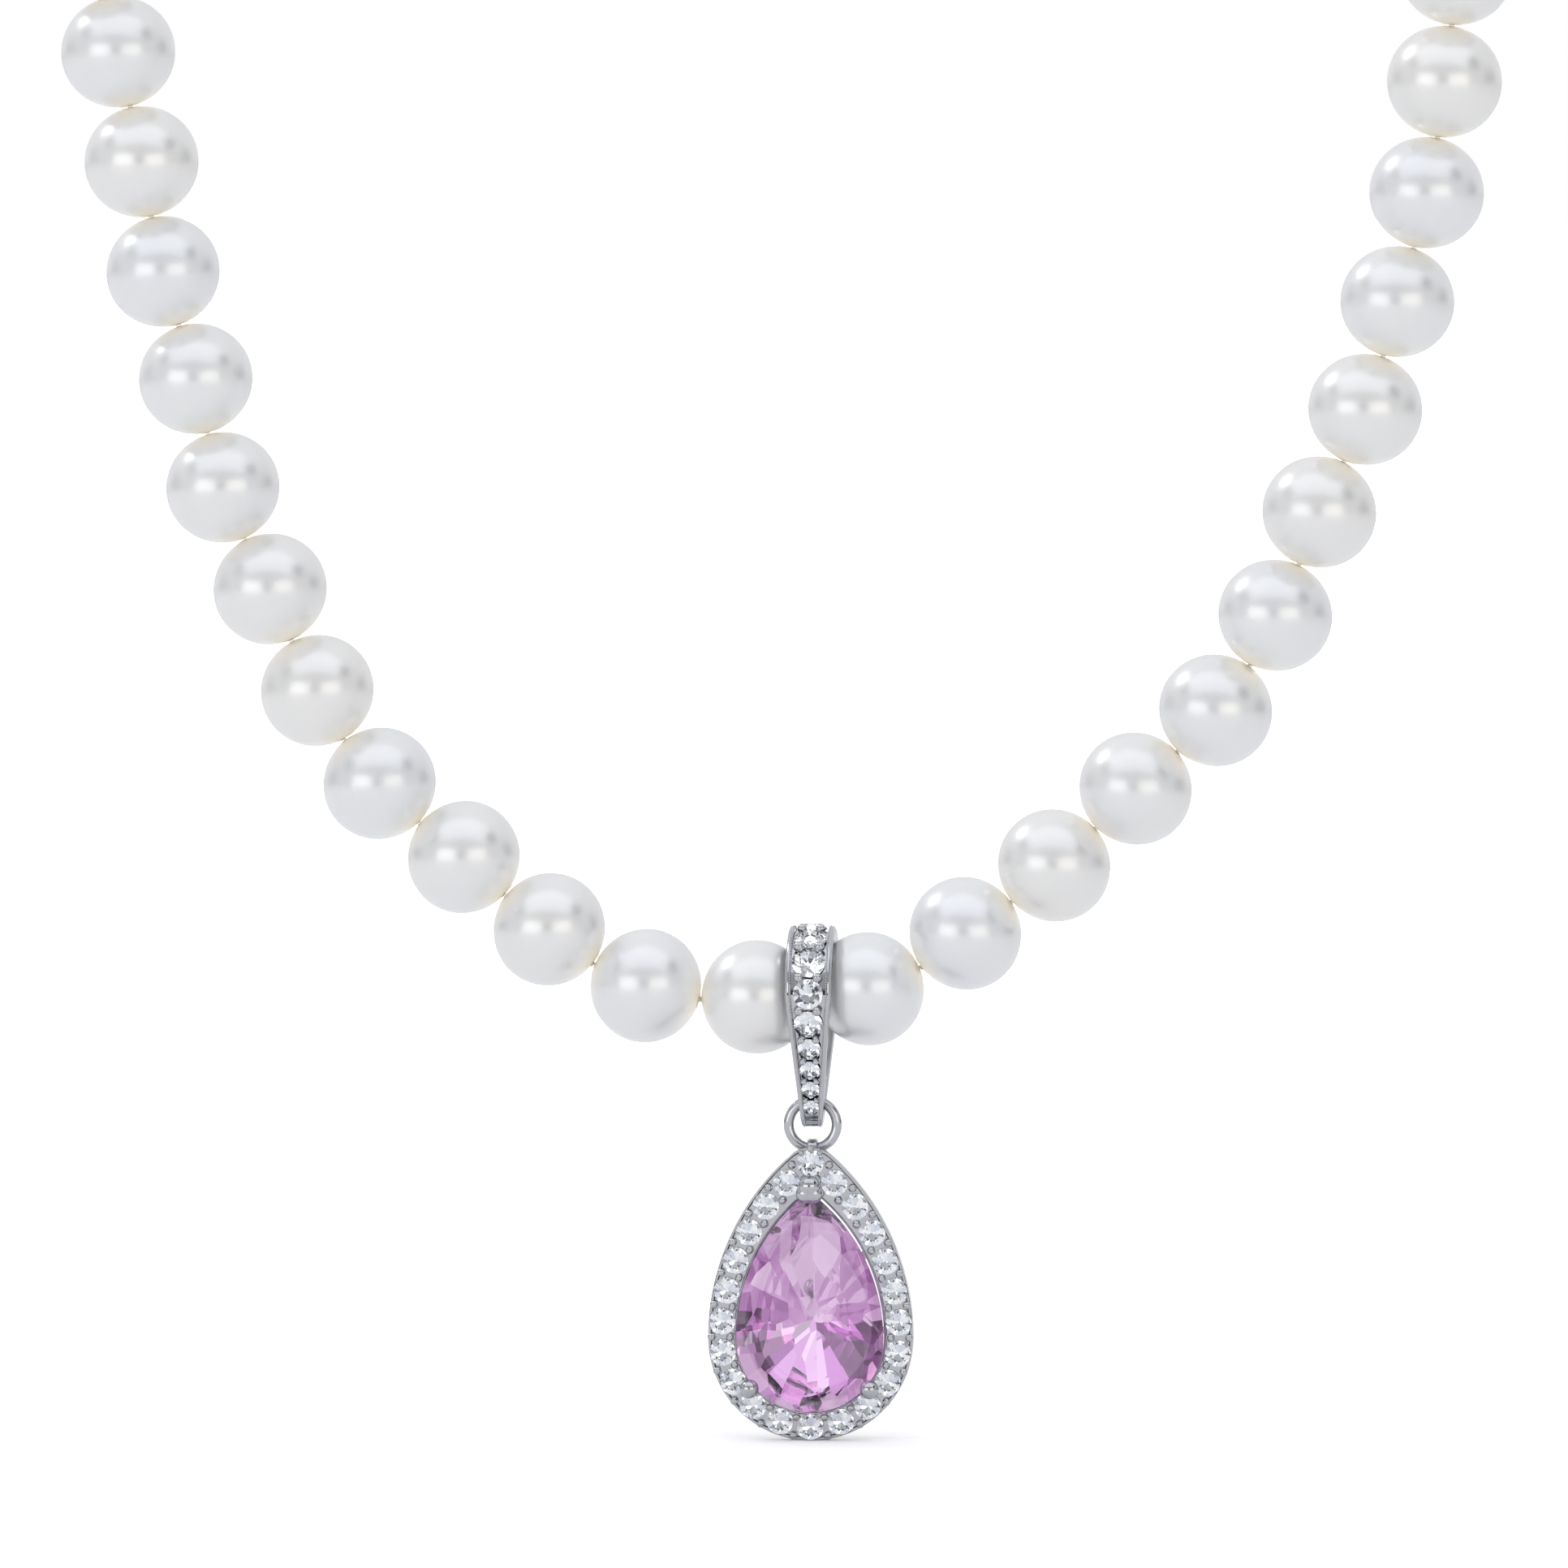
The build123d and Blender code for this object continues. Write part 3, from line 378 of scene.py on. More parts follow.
def metal_finish(name, hex_colour, polish, wear):
    """Plated or drawn metal: sharp reflections, a little hazy in patches from hand polishing."""
    # real polishing haze is too fine to show, so its patches are drawn 1.4 mm wide
    patch = 10 / 7 * MM
    material, tree, surface = new_material(name)
    place = add_node(tree, "ShaderNodeTexCoord").outputs["Object"]
    haze = add_node(tree, "ShaderNodeTexNoise", {"Scale": 1 / patch, "Detail": 4.0}, {"Vector": place})
    gloss = add_node(tree, "ShaderNodeMapRange", {"To Min": polish, "To Max": polish + wear},
                     {"Value": haze.outputs[0]})
    relief = add_node(tree, "ShaderNodeBump", {"Strength": 0.06, "Distance": 0.03 * MM},
                      {"Height": haze.outputs[0]})
    metal = add_node(tree, "ShaderNodeBsdfPrincipled", {"Base Color": linear(hex_colour), "Metallic": 1.0},
                     {"Roughness": gloss.outputs[0], "Normal": relief.outputs[0]})
    tree.links.new(metal.outputs[0], surface)
    return material


def stone_finish(name, light_hex, deep_hex, ior, silvering):
    """Polished cubic zirconia: facets behind a clear crown, each with its own painted brightness, painted flashes
    and dark facets that stand in for the light a cut stone reflects.

    Faces of the pavilion carry a mirror share that stands for total reflection, so the crown's
    own bending is kept low. The coat gives the strong glint of zirconia's surface.
    """
    material, tree, surface = new_material(name)
    back, depth = (add_node(tree, "ShaderNodeAttribute", {"attribute_name": key}).outputs["Fac"]
                   for key in ("pavilion", "depth"))
    # painted light: pavilion facets are set lighter or darker at random, painted flashes and dark facets in place
    # of the reflections that a cut stone throws
    facet = add_node(tree, "ShaderNodeMix", {
        "data_type": "RGBA", 6: linear(light_hex), 7: linear(deep_hex)}, {0: depth})
    tint = add_node(tree, "ShaderNodeMix", {"data_type": "RGBA", 6: linear(light_hex)},
                    {0: back, 7: facet.outputs[2]})
    mirror = add_node(tree, "ShaderNodeMath", {"operation": "MULTIPLY", 1: silvering}, {0: back})
    stone = add_node(tree, "ShaderNodeBsdfPrincipled", {
        "Roughness": 0.0, "IOR": ior, "Transmission Weight": 1.0,
        "Coat Weight": 0.35, "Coat Roughness": 0.0, "Coat IOR": 1.9},
        {"Base Color": tint.outputs[2], "Metallic": mirror.outputs[0]})
    tree.links.new(stone.outputs[0], surface)
    return material


@cache
def finish(key):
    """The finish of that name, made once."""
    colours = bpy.context.scene.necklace_colours
    make, *settings = {
        "nacre": (nacre_finish, colours),
        "silk": (silk_finish, colours),
        # name, colour, roughness where it is best polished, roughness that wear adds
        "rhodium": (metal_finish, "polished rhodium plate", colours.rhodium, 0.04, 0.06),
        "steel": (metal_finish, "drawn spring steel", colours.steel, 0.22, 0.15),
        # name, lightest and deepest painted facet brightness, index of the crown, mirror share of the pavilion
        "pink": (stone_finish, "orchid zirconia", colours.pink, colours.pink_deep, 1.1, 0.8),
        "clear": (stone_finish, "clear zirconia", colours.clear, colours.clear_deep, 1.4, 0.98),
    }[key]
    return make(*settings)


# ---------------------------------------------------------------- stones, cut plane by plane
def cut_stone(name, outline, top, bottom, planes, material):
    """A faceted stone: a straight-sided blank of the outline, cut back by each facet's plane."""
    stone = bmesh.new()
    count = len(outline)
    low = [stone.verts.new((p.x, p.y, bottom)) for p in outline]
    high = [stone.verts.new((p.x, p.y, top)) for p in outline]
    stone.faces.new(list(reversed(low)))
    stone.faces.new(high)
    for k in range(count):
        stone.faces.new((low[k], low[(k + 1) % count], high[(k + 1) % count], high[k]))
    for point, normal in planes:
        whole = stone.verts[:] + stone.edges[:] + stone.faces[:]
        cut = bmesh.ops.bisect_plane(stone, geom=whole, plane_co=point, plane_no=normal,
                                     clear_outer=True, dist=1e-6)
        edges = [e for e in cut["geom_cut"] if isinstance(e, bmesh.types.BMEdge) and e.is_boundary]
        if edges:
            bmesh.ops.holes_fill(stone, edges=edges, sides=0)
    bmesh.ops.remove_doubles(stone, verts=stone.verts, dist=2e-4)
    bmesh.ops.dissolve_degenerate(stone, edges=stone.edges, dist=1e-5)
    bmesh.ops.recalc_face_normals(stone, faces=stone.faces)
    mesh = bpy.data.meshes.new(name)
    stone.to_mesh(mesh)
    stone.free()
    faces_down = [1.0 if face.normal.z < -0.05 else 0.0 for face in mesh.polygons]
    # painted light: each face gets a fixed random share between the lightest and deepest facet colour, so its
    # painted brightness stands in for the reflections of a cut stone
    painted_facet_light = [(face.index * GOLDEN) % 1 for face in mesh.polygons]
    for key, values in (("pavilion", faces_down), ("depth", painted_facet_light)):
        mesh.attributes.new(key, "FLOAT", "FACE").data.foreach_set("value", values)
    mesh.materials.append(material)
    return linked(name, mesh)


def round_brilliant():
    """Round brilliant of unit girdle radius, table towards +Z, girdle at 0."""
    spokes = 48
    outline = [Vector((cos(TAU * k / spokes), sin(TAU * k / spokes), 0)) for k in range(spokes)]
    crown, star, upper, main, lower = (radians(a) for a in (34.0, 22.0, 39.0, 41.0, 42.6))
    table = 0.56
    rim = 0.03
    table_height = rim + (1 - table) * tan(crown)
    planes = [(Vector((0, 0, table_height)), Vector((0, 0, 1)))]

    def facet(turn, tilt, radius, height, down=False):
        out = Vector((cos(turn), sin(turn), 0))
        normal = out * sin(tilt) + Vector((0, 0, -cos(tilt) if down else cos(tilt)))
        planes.append((out * radius + Vector((0, 0, height)), normal))

    for k in range(8):
        turn = TAU * k / 8
        facet(turn, crown, 1.0, rim)
        facet(turn + TAU / 16, star, table * cos(TAU / 16), table_height)
        facet(turn, main, 1.0, -rim, down=True)
        for side in (-1, 1):
            facet(turn + side * TAU / 32, upper, 0.995, rim)
            facet(turn + side * TAU / 32, lower, 0.998, -rim, down=True)
    return cut_stone("round_brilliant", outline, table_height + 0.1, -1.0, planes, finish("clear"))


def pear_point(half_width, tip, share, rounding=0.0):
    """Point and outward direction on a pear, at a share of the way round from its tip."""
    flank = (half_width ** 2 + tip ** 2) / (2 * half_width)
    round_tip = sqrt((flank - rounding) ** 2 - (flank - half_width) ** 2)
    tip_turn = atan2(round_tip, flank - half_width)
    over_tip, over_flank = rounding * (pi / 2 - tip_turn), flank * tip_turn
    side = 1 if share <= 0.5 else -1
    along = 2 * (over_tip + over_flank + half_width * pi / 2) * min(share, 1 - share)
    if along < over_tip:
        turn, radius, middle = pi / 2 - along / rounding, rounding, Vector((0, round_tip, 0))
    elif along < over_tip + over_flank:
        turn, radius = tip_turn - (along - over_tip) / flank, flank
        middle = Vector((half_width - flank, 0, 0))
    else:
        turn, radius = -(along - over_tip - over_flank) / half_width, half_width
        middle = Vector((0, 0, 0))
    out = Vector((cos(turn), sin(turn), 0))
    point = middle + out * radius
    return Vector((side * point.x, point.y, 0)), Vector((side * out.x, out.y, 0))


def pear_brilliant(half_width, tip, crown_height, depth, culet_rise):
    """Pear-cut stone with a many-faceted pavilion, table towards +Z, in millimetres."""
    spokes = 144
    outline = [pear_point(half_width, tip, k / spokes)[0] for k in range(spokes)]
    outline.reverse()
    rim = 0.1                       # of the girdle, above and below
    rise, drop = crown_height - rim, depth - rim
    bowl = 1.32                     # 1 would be a straight-sided cone
    jitter, tier_step = 0.36, 0.387
    mains = 33
    bezel, upper, star = (radians(a) for a in (31.0, 38.0, 20.0))
    # offset in mains, tilt, inset from the outline, height
    crown_facets = ((0.0, bezel, 0.0, rim), (-0.25, upper, 0.02, rim), (0.25, upper, 0.02, rim),
                    (0.5, star, rise / tan(bezel), crown_height))
    # offset in mains, share of the way out from the culet; every second main has one more
    tiers = ((-0.25, 0.97), (0.25, 0.97), (0.0, 0.88), (0.5, 0.79), (0.0, 0.7), (0.5, 0.6),
             (0.0, 0.5), (0.5, 0.38))
    inmost = (0.0, 0.22)
    culet = Vector((0, culet_rise, 0))
    planes = [(Vector((0, 0, crown_height)), Vector((0, 0, 1)))]
    for k in range(mains):
        for offset, tilt, inset, height in crown_facets:
            edge, out = pear_point(half_width, tip, ((k + offset) / mains) % 1)
            planes.append((edge - out * inset + Vector((0, 0, height)),
                           out * sin(tilt) + Vector((0, 0, cos(tilt)))))
        for tier, (offset, reach) in enumerate(tiers if k % 2 else (*tiers, inmost)):
            edge, out = pear_point(half_width, tip, ((k + offset) / mains) % 1)
            span = edge - culet
            scatter = (k * GOLDEN + tier * tier_step) % 1 - 0.5
            steepness = drop * bowl * reach ** (bowl - 1) / span.dot(out) * (1 + jitter * scatter)
            start = culet + span * reach - Vector((0, 0, depth - drop * reach ** bowl))
            planes.append((start, (out * steepness - Vector((0, 0, 1))).normalized()))
    return cut_stone("pear_stone", outline, crown_height + 0.5, -depth - 0.5, planes, finish("pink"))


# ---------------------------------------------------------------- skins and wires
def directions_about(axis, count):
    """Unit directions, evenly spaced round an axis."""
    across = axis.orthogonal().normalized()
    beside = axis.cross(across)
    return [across * cos(TAU * j / count) + beside * sin(TAU * j / count) for j in range(count)]


def grid_faces(rows, columns, close_rows=True):
    """Quads over rings of points; where the rows close, the last ring joins the first."""
    faces = []
    for i in range(rows if close_rows else rows - 1):
        for j in range(columns):
            a, b = (i + 1) % rows, (j + 1) % columns
            faces.append((i * columns + j, i * columns + b, a * columns + b, a * columns + j))
    return faces


def ball(radius, rings=9, spokes=14):
    """Corner points and faces of a small ball, its poles along Z."""
    points = [Vector((0, 0, radius))]
    for k in range(1, rings):
        for j in range(spokes):
            up, turn = pi * k / rings, TAU * j / spokes
            points.append(Vector((sin(up) * cos(turn), sin(up) * sin(turn), cos(up))) * radius)
    points.append(Vector((0, 0, -radius)))
    last = len(points) - 1
    faces = [(0, 1 + j, 1 + (j + 1) % spokes) for j in range(spokes)]
    for k in range(rings - 2):
        a, b = 1 + k * spokes, 1 + (k + 1) * spokes
        faces += [(a + j, b + j, b + (j + 1) % spokes, a + (j + 1) % spokes) for j in range(spokes)]
    faces += [(last, last - spokes + (j + 1) % spokes, last - spokes + j) for j in range(spokes)]
    return points, faces


def ringed(name, rings, material, close_rows=True):
    """A skin over rings of points; an open row of rings gets a cap at each end."""
    count = len(rings[0])
    points = [p for ring in rings for p in ring]
    faces = grid_faces(len(rings), count, close_rows)
    if not close_rows:
        faces += [tuple(range(count - 1, -1, -1)), tuple(len(points) - count + j for j in range(count))]
    return mesh_object(name, points, faces, material)


def hoop(name, middle, axis, radius, wire, material):
    """A round wire ring about an axis; wire is the wire's own radius."""
    rows, spokes = 96, 20
    turns = [TAU * j / spokes for j in range(spokes)]
    return ringed(name, [[middle + out * (radius + wire * cos(turn)) + axis * wire * sin(turn)
                          for turn in turns] for out in directions_about(axis, rows)], material)


def rod(name, start, end, thick_start, thick_end, material):
    """A straight round wire between two points, tapered, with its ends rounded over."""
    spokes = 14
    caps = ((0.3, 0.35), (0.2, 0.75), (0.0, 1.0))     # millimetres past the end, share of the radius
    span = (end - start).length
    along = (end - start).normalized()
    stations = [(-past, swell) for past, swell in caps]
    stations += [(span / MM + past, swell) for past, swell in reversed(caps)]
    rings = []
    for reach, swell in stations:
        share = min(max(reach * MM / span, 0), 1)
        radius = (thick_start + (thick_end - thick_start) * share) * swell
        rings.append([start + along * reach * MM + out * radius for out in directions_about(along, spokes)])
    return ringed(name, rings, material, close_rows=False)


def pear_band(name, inner, outer, section, material, middle, stations=220):
    """A band between two pears; section gives share across, millimetres added across, and depth."""
    rings = []
    for k in range(stations):
        near = pear_point(*inner[:2], k / stations, *inner[2:])[0]
        far = pear_point(*outer[:2], k / stations, *outer[2:])[0]
        across = (far - near).normalized()
        ring = []
        for share, extra, depth in section:
            spot = near.lerp(far, share) + across * extra
            ring.append(middle + Vector((spot.x, depth, spot.y)) * MM)
        rings.append(ring)
    return ringed(name, rings, material)


def melted(name, pieces, voxel, material):
    """Pieces run together into one smooth casting."""
    whole = join(name, pieces)
    remesh = whole.modifiers.new("fuse", "REMESH")
    remesh.mode = "VOXEL"
    remesh.voxel_size = voxel
    remesh.use_smooth_shade = True
    smooth = whole.modifiers.new("soften", "SMOOTH")
    smooth.factor = 0.5
    smooth.iterations = 3
    settle(whole)
    whole.data.materials.clear()
    whole.data.materials.append(material)
    return whole


def seated(piece, seats, material):
    """Cut a stepped round seat for each stone: a bearing for the girdle over an open hole."""
    spokes = 28
    steps = ((0.93, 0.8), (0.93, -0.12), (0.5, -0.75), (0.5, -1.6))    # radius, height, in stone radii
    points, faces = [], []
    for middle, axis, radius in seats:
        start = len(points)
        for reach, height in steps:
            points += [middle + axis * height * radius + out * reach * radius
                       for out in directions_about(axis, spokes)]
        faces += [tuple(start + i for i in face) for face in grid_faces(len(steps), spokes, False)]
        last = len(points) - spokes
        faces.append(tuple(start + spokes - 1 - j for j in range(spokes)))
        faces.append(tuple(last + j for j in range(spokes)))
    cutter = mesh_object("seat_cutter", points, faces, material)
    cut = piece.modifiers.new("seats", "BOOLEAN")
    cut.operation, cut.solver, cut.object = "DIFFERENCE", "EXACT", cutter
    settle(piece)
    bpy.data.objects.remove(cutter)
    piece.data.materials.clear()
    piece.data.materials.append(material)
    piece.data.set_sharp_from_angle(angle=radians(38))
    # a flat plate's many-sided faces shade wrongly when smooth
    for face in piece.data.polygons:
        face.use_smooth = abs(face.normal.y) < 0.999
    return piece


# ---------------------------------------------------------------- reading the frame
def joint_place(name):
    """Where a joint sits."""
    return Vector(next(j for j in frame["joints"] if j["name"] == name)["pos_m"])


def body_of(node):
    """The body that carries a CAD node."""
    return next(b for b, members in frame["record"]["behaviour"]["bodies"].items() if node in members)


def colour_node(node, key):
    """Give a CAD node that keeps its shape a finish."""
    piece = frame["nodes"][node]
    piece.data.materials.clear()
    piece.data.materials.append(finish(key))


def solids_of(node):
    """Corner points of each separate solid in a CAD node."""
    shape = bmesh.new()
    shape.from_mesh(frame["nodes"][node].data)
    bmesh.ops.remove_doubles(shape, verts=shape.verts, dist=1e-6)
    seen, solids = set(), []
    for start in shape.verts:
        if start in seen:
            continue
        seen.add(start)
        stack, solid = [start], []
        while stack:
            vert = stack.pop()
            solid.append(vert.co.copy())
            for edge in vert.link_edges:
                other = edge.other_vert(vert)
                if other not in seen:
                    seen.add(other)
                    stack.append(other)
        solids.append(solid)
    shape.free()
    return solids


def axis_of(points):
    """Middle and turning axis of a solid of revolution, from its corner points."""
    low, high = (Vector([end(p[k] for p in points) for k in range(3)]) for end in (min, max))
    cloud = np.array([tuple(p) for p in points])
    spread = cloud - cloud.mean(axis=0)
    values, vectors = np.linalg.eigh(spread.T @ spread)
    # the axis is the direction whose spread has no equal
    pick = 2 if values[1] - values[0] < values[2] - values[1] else 0
    return (low + high) / 2, Vector(vectors[:, pick])


def off_axis(points, middle, axis):
    """Distance of each point from an axis."""
    return [((p - middle) - axis * (p - middle).dot(axis)).length for p in points]


def stone_seats(node):
    """Girdle middle, outward axis and radius of each round stone of a CAD node."""
    low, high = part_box("bail")
    core = (low + high) / 2
    on_halo = node == "halo_stones"
    sunk = 0.32 if on_halo else 0.5                # girdle below the table, in stone radii
    seats = []
    for solid in solids_of(node):
        middle, axis = axis_of(solid)
        if on_halo:
            axis = Vector((0, -1, 0))
        elif axis.dot(middle - core) < 0:
            axis.negate()
        radius = max(off_axis(solid, middle, axis))
        table = max((p - middle).dot(axis) for p in solid)
        seats.append((middle + axis * (table - sunk * radius), axis, radius))
    return seats


def ring_like(node):
    """Middle, axis, radius and wire radius of a CAD ring."""
    points = solids_of(node)[0]
    middle, axis = axis_of(points)
    across = off_axis(points, middle, axis)
    return middle, axis, (max(across) + min(across)) / 2, (max(across) - min(across)) / 2


def pendant_middle():
    """Centre of the pear stone's round end, at no depth."""
    low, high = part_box("centre_stone")
    return Vector(((low.x + high.x) / 2, 0, low.z + (high.x - low.x) / 2))


@cache
def bail_numbers():
    """Radii of the bail's crest and foot and the drop between them, outside and then inside."""
    low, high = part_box("bail")
    strand = joint_place("bail_swing")
    crest = (high.z - strand.z) / MM
    drop = (strand.z - low.z) / MM
    return ((crest, BAIL_FOOT_RADIUS, drop - BAIL_FOOT_RADIUS),
            (crest - BAIL_WALL, BAIL_FOOT_BORE, drop - BAIL_FOOT_WALL - BAIL_FOOT_BORE))


def bail_station(along):
    """Outer point, outward normal, inner point and half width of the bail, as frame millimetres.

    along runs from -1 to 1: the crest is 0, the foot is 1 down the front and -1 down the back.
    """
    side = 1 if along >= 0 else -1
    share = abs(along)
    spots = []
    for big, small, fall in bail_numbers():
        slant = asin((big - small) / fall)
        knee = pi / 2 + slant
        straight = fall * cos(slant)
        if share < BAIL_CREST_SHARE:
            turn, run, radius, low = knee * share / BAIL_CREST_SHARE, 0.0, big, 0.0
        elif share < BAIL_FLANK_SHARE:
            turn, radius, low = knee, big, 0.0
            run = straight * (share - BAIL_CREST_SHARE) / (BAIL_FLANK_SHARE - BAIL_CREST_SHARE)
        else:
            turn = knee + (pi - knee) * (share - BAIL_FLANK_SHARE) / (1 - BAIL_FLANK_SHARE)
            run, radius, low = 0.0, small, fall
        normal = Vector((0, -side * sin(turn), cos(turn)))
        down = Vector((0, -side * cos(turn), -sin(turn)))
        spots.append((normal * radius + down * run - Vector((0, 0, low)), normal))
    (outer, normal), (inner, _) = spots
    height = min(0.0, max(outer.z, -BAIL_TAPER_DROP))
    width = BAIL_WIDTH_TOP + (BAIL_WIDTH_TOP - BAIL_WIDTH_FOOT) * height / BAIL_TAPER_DROP
    return outer, normal, inner, width / 2


def nearest_on_bail(spot, strand):
    """Point and outward normal on the bail's front nearest to a spot."""
    steps = 400
    stations = [bail_station(k / steps) for k in range(steps)]
    outer, normal = min(((strand + outer * MM, normal) for outer, normal, _, _ in stations),
                        key=lambda station: (station[0] - spot).length)
    return outer, normal


def smooth_step(low, high, value):
    """0 below low, 1 above high, and a soft rise between them."""
    share = min(max((value - low) / (high - low), 0.0), 1.0)
    return share * share * (3 - 2 * share)


def claw_places():
    """The three claws, as points on the pear: over its tip and low on each side."""
    reach, tip = CLAW_PEAR
    return [Vector((0, tip, 0))] + [pear_point(*HALO_ROW, share)[0].normalized() * reach
                                    for share in (LOW_CLAW_SHARE, 1 - LOW_CLAW_SHARE)]


# ---------------------------------------------------------------- stage
def add_camera(scene):
    """A long lens, a little to the right and above the pendant."""
    strand = joint_place("bail_swing")
    target = Vector((strand.x - 1.949 * MM, 0, strand.z + 14.151 * MM))
    turn, lift = radians(4.5), radians(3.0)
    distance, view_width, film = 1.2, 0.10615, 36.0
    away = Vector((sin(turn) * cos(lift), -cos(turn) * cos(lift), sin(lift)))
    lens = bpy.data.cameras.new("camera")
    lens.sensor_width = film
    lens.lens = film * distance / view_width
    lens.clip_end = 20.0
    camera = linked("camera", lens)
    camera.location = target + away * distance
    camera.rotation_euler = (-away).to_track_quat("-Z", "Y").to_euler()
    scene.camera = camera


def paper_finish(colours):
    """Matt white paper under the pendant, lit up to white for the camera away from the shadow."""
    material, tree, surface = new_material("matt white paper")
    paper = add_node(tree, "ShaderNodeBsdfPrincipled",
                     {"Base Color": linear(colours.floor), "Roughness": 0.9})
    seen = add_node(tree, "ShaderNodeLightPath")
    place = add_node(tree, "ShaderNodeTexCoord")
    gone = add_node(tree, "ShaderNodeVectorMath", {"operation": "LENGTH"}, {0: place.outputs["Object"]})
    fade = add_node(tree, "ShaderNodeMapRange", {"From Max": 0.6, "To Min": 0.0, "To Max": 0.9},
                    {"Value": gone.outputs["Value"]})
    level = add_node(tree, "ShaderNodeMath", {"operation": "MULTIPLY"},
                     {0: seen.outputs["Is Camera Ray"], 1: fade.outputs[0]})
    glow = add_node(tree, "ShaderNodeEmission", {"Color": linear("#FFFFFF")}, {"Strength": level.outputs[0]})
    both = add_node(tree, "ShaderNodeAddShader", None, {0: paper.outputs[0], 1: glow.outputs[0]})
    tree.links.new(both.outputs[0], surface)
    return material


def studio_world():
    """Plain white to the camera; to everything else a soft studio with a few dark places."""
    world = bpy.data.worlds.new("studio")
    world.use_nodes = True
    tree = world.node_tree
    tree.nodes.clear()
    facing = add_node(tree, "ShaderNodeTexCoord").outputs["Generated"]
    split = add_node(tree, "ShaderNodeSeparateXYZ", None, {0: facing})
    # brighter behind and overhead, darker towards the room the camera stands in
    parts = [("ADD", split.outputs["Y"], (-0.95, 0.45, 0.5, 0.85)),
             ("ADD", split.outputs["Z"], (0.5, 0.75, 0.0, 0.1))]
    for spot, core, rim, left in DARK_PLACES:
        gone = add_node(tree, "ShaderNodeVectorMath", {"operation": "DISTANCE", 1: spot}, {0: facing})
        parts.append(("MULTIPLY", gone.outputs["Value"], (core, rim, left, 1.0)))
    level = None
    for operation, source, (low, high, start, end) in parts:
        step = add_node(tree, "ShaderNodeMapRange", {
            "interpolation_type": "SMOOTHSTEP", "From Min": low, "From Max": high, "To Min": start,
            "To Max": end}, {"Value": source})
        level = step if level is None else add_node(tree, "ShaderNodeMath", {"operation": operation},
                                                    {0: level.outputs[0], 1: step.outputs[0]})
    dim = add_node(tree, "ShaderNodeBackground", {"Color": linear("#FBFCFF")}, {"Strength": level.outputs[0]})
    plain = add_node(tree, "ShaderNodeBackground", {"Color": linear("#FFFFFF"), "Strength": 1.0})
    seen = add_node(tree, "ShaderNodeLightPath")
    mix = add_node(tree, "ShaderNodeMixShader", None,
                   {0: seen.outputs["Is Camera Ray"], 1: dim.outputs[0], 2: plain.outputs[0]})
    add_node(tree, "ShaderNodeOutputWorld", None, {"Surface": mix.outputs[0]})
    return world


# ---------------------------------------------------------------- operators
class NECKLACE_OT_stage(bpy.types.Operator):
    """Camera, soft studio light and a pale floor that keeps the pendant's shadow"""
    bl_idname = "necklace.stage"
    bl_label = "Stage"

    def execute(self, context):
        scene = context.scene
        scene.view_settings.view_transform = "Standard"
        add_camera(scene)
        reach, ground = 4.0, cad_box[0][2]
        corners = [(x * reach, y * reach, ground) for x, y in ((-1, -1), (1, -1), (1, 1), (-1, 1))]
        paper = paper_finish(scene.necklace_colours)
        floor = mesh_object("floor", corners, [(0, 1, 2, 3)], paper, smooth=False)
        if floor.data.polygons[0].normal.z < 0:
            floor.data.flip_normals()
        scene.world = studio_world()
        middle = (Vector(cad_box[0]) + Vector(cad_box[1])) / 2
        for name, place, wide, tall, watts, tint in LAMPS:
            lamp = bpy.data.lights.new(name, "AREA")
            lamp.shape = "RECTANGLE"
            lamp.size, lamp.size_y = wide, tall
            lamp.energy = watts
            lamp.color = linear(tint)[:3]
            light = linked(name, lamp)
            light.location = middle + Vector(place)
            light.rotation_euler = (-Vector(place)).to_track_quat("-Z", "Y").to_euler()
        return {"FINISHED"}


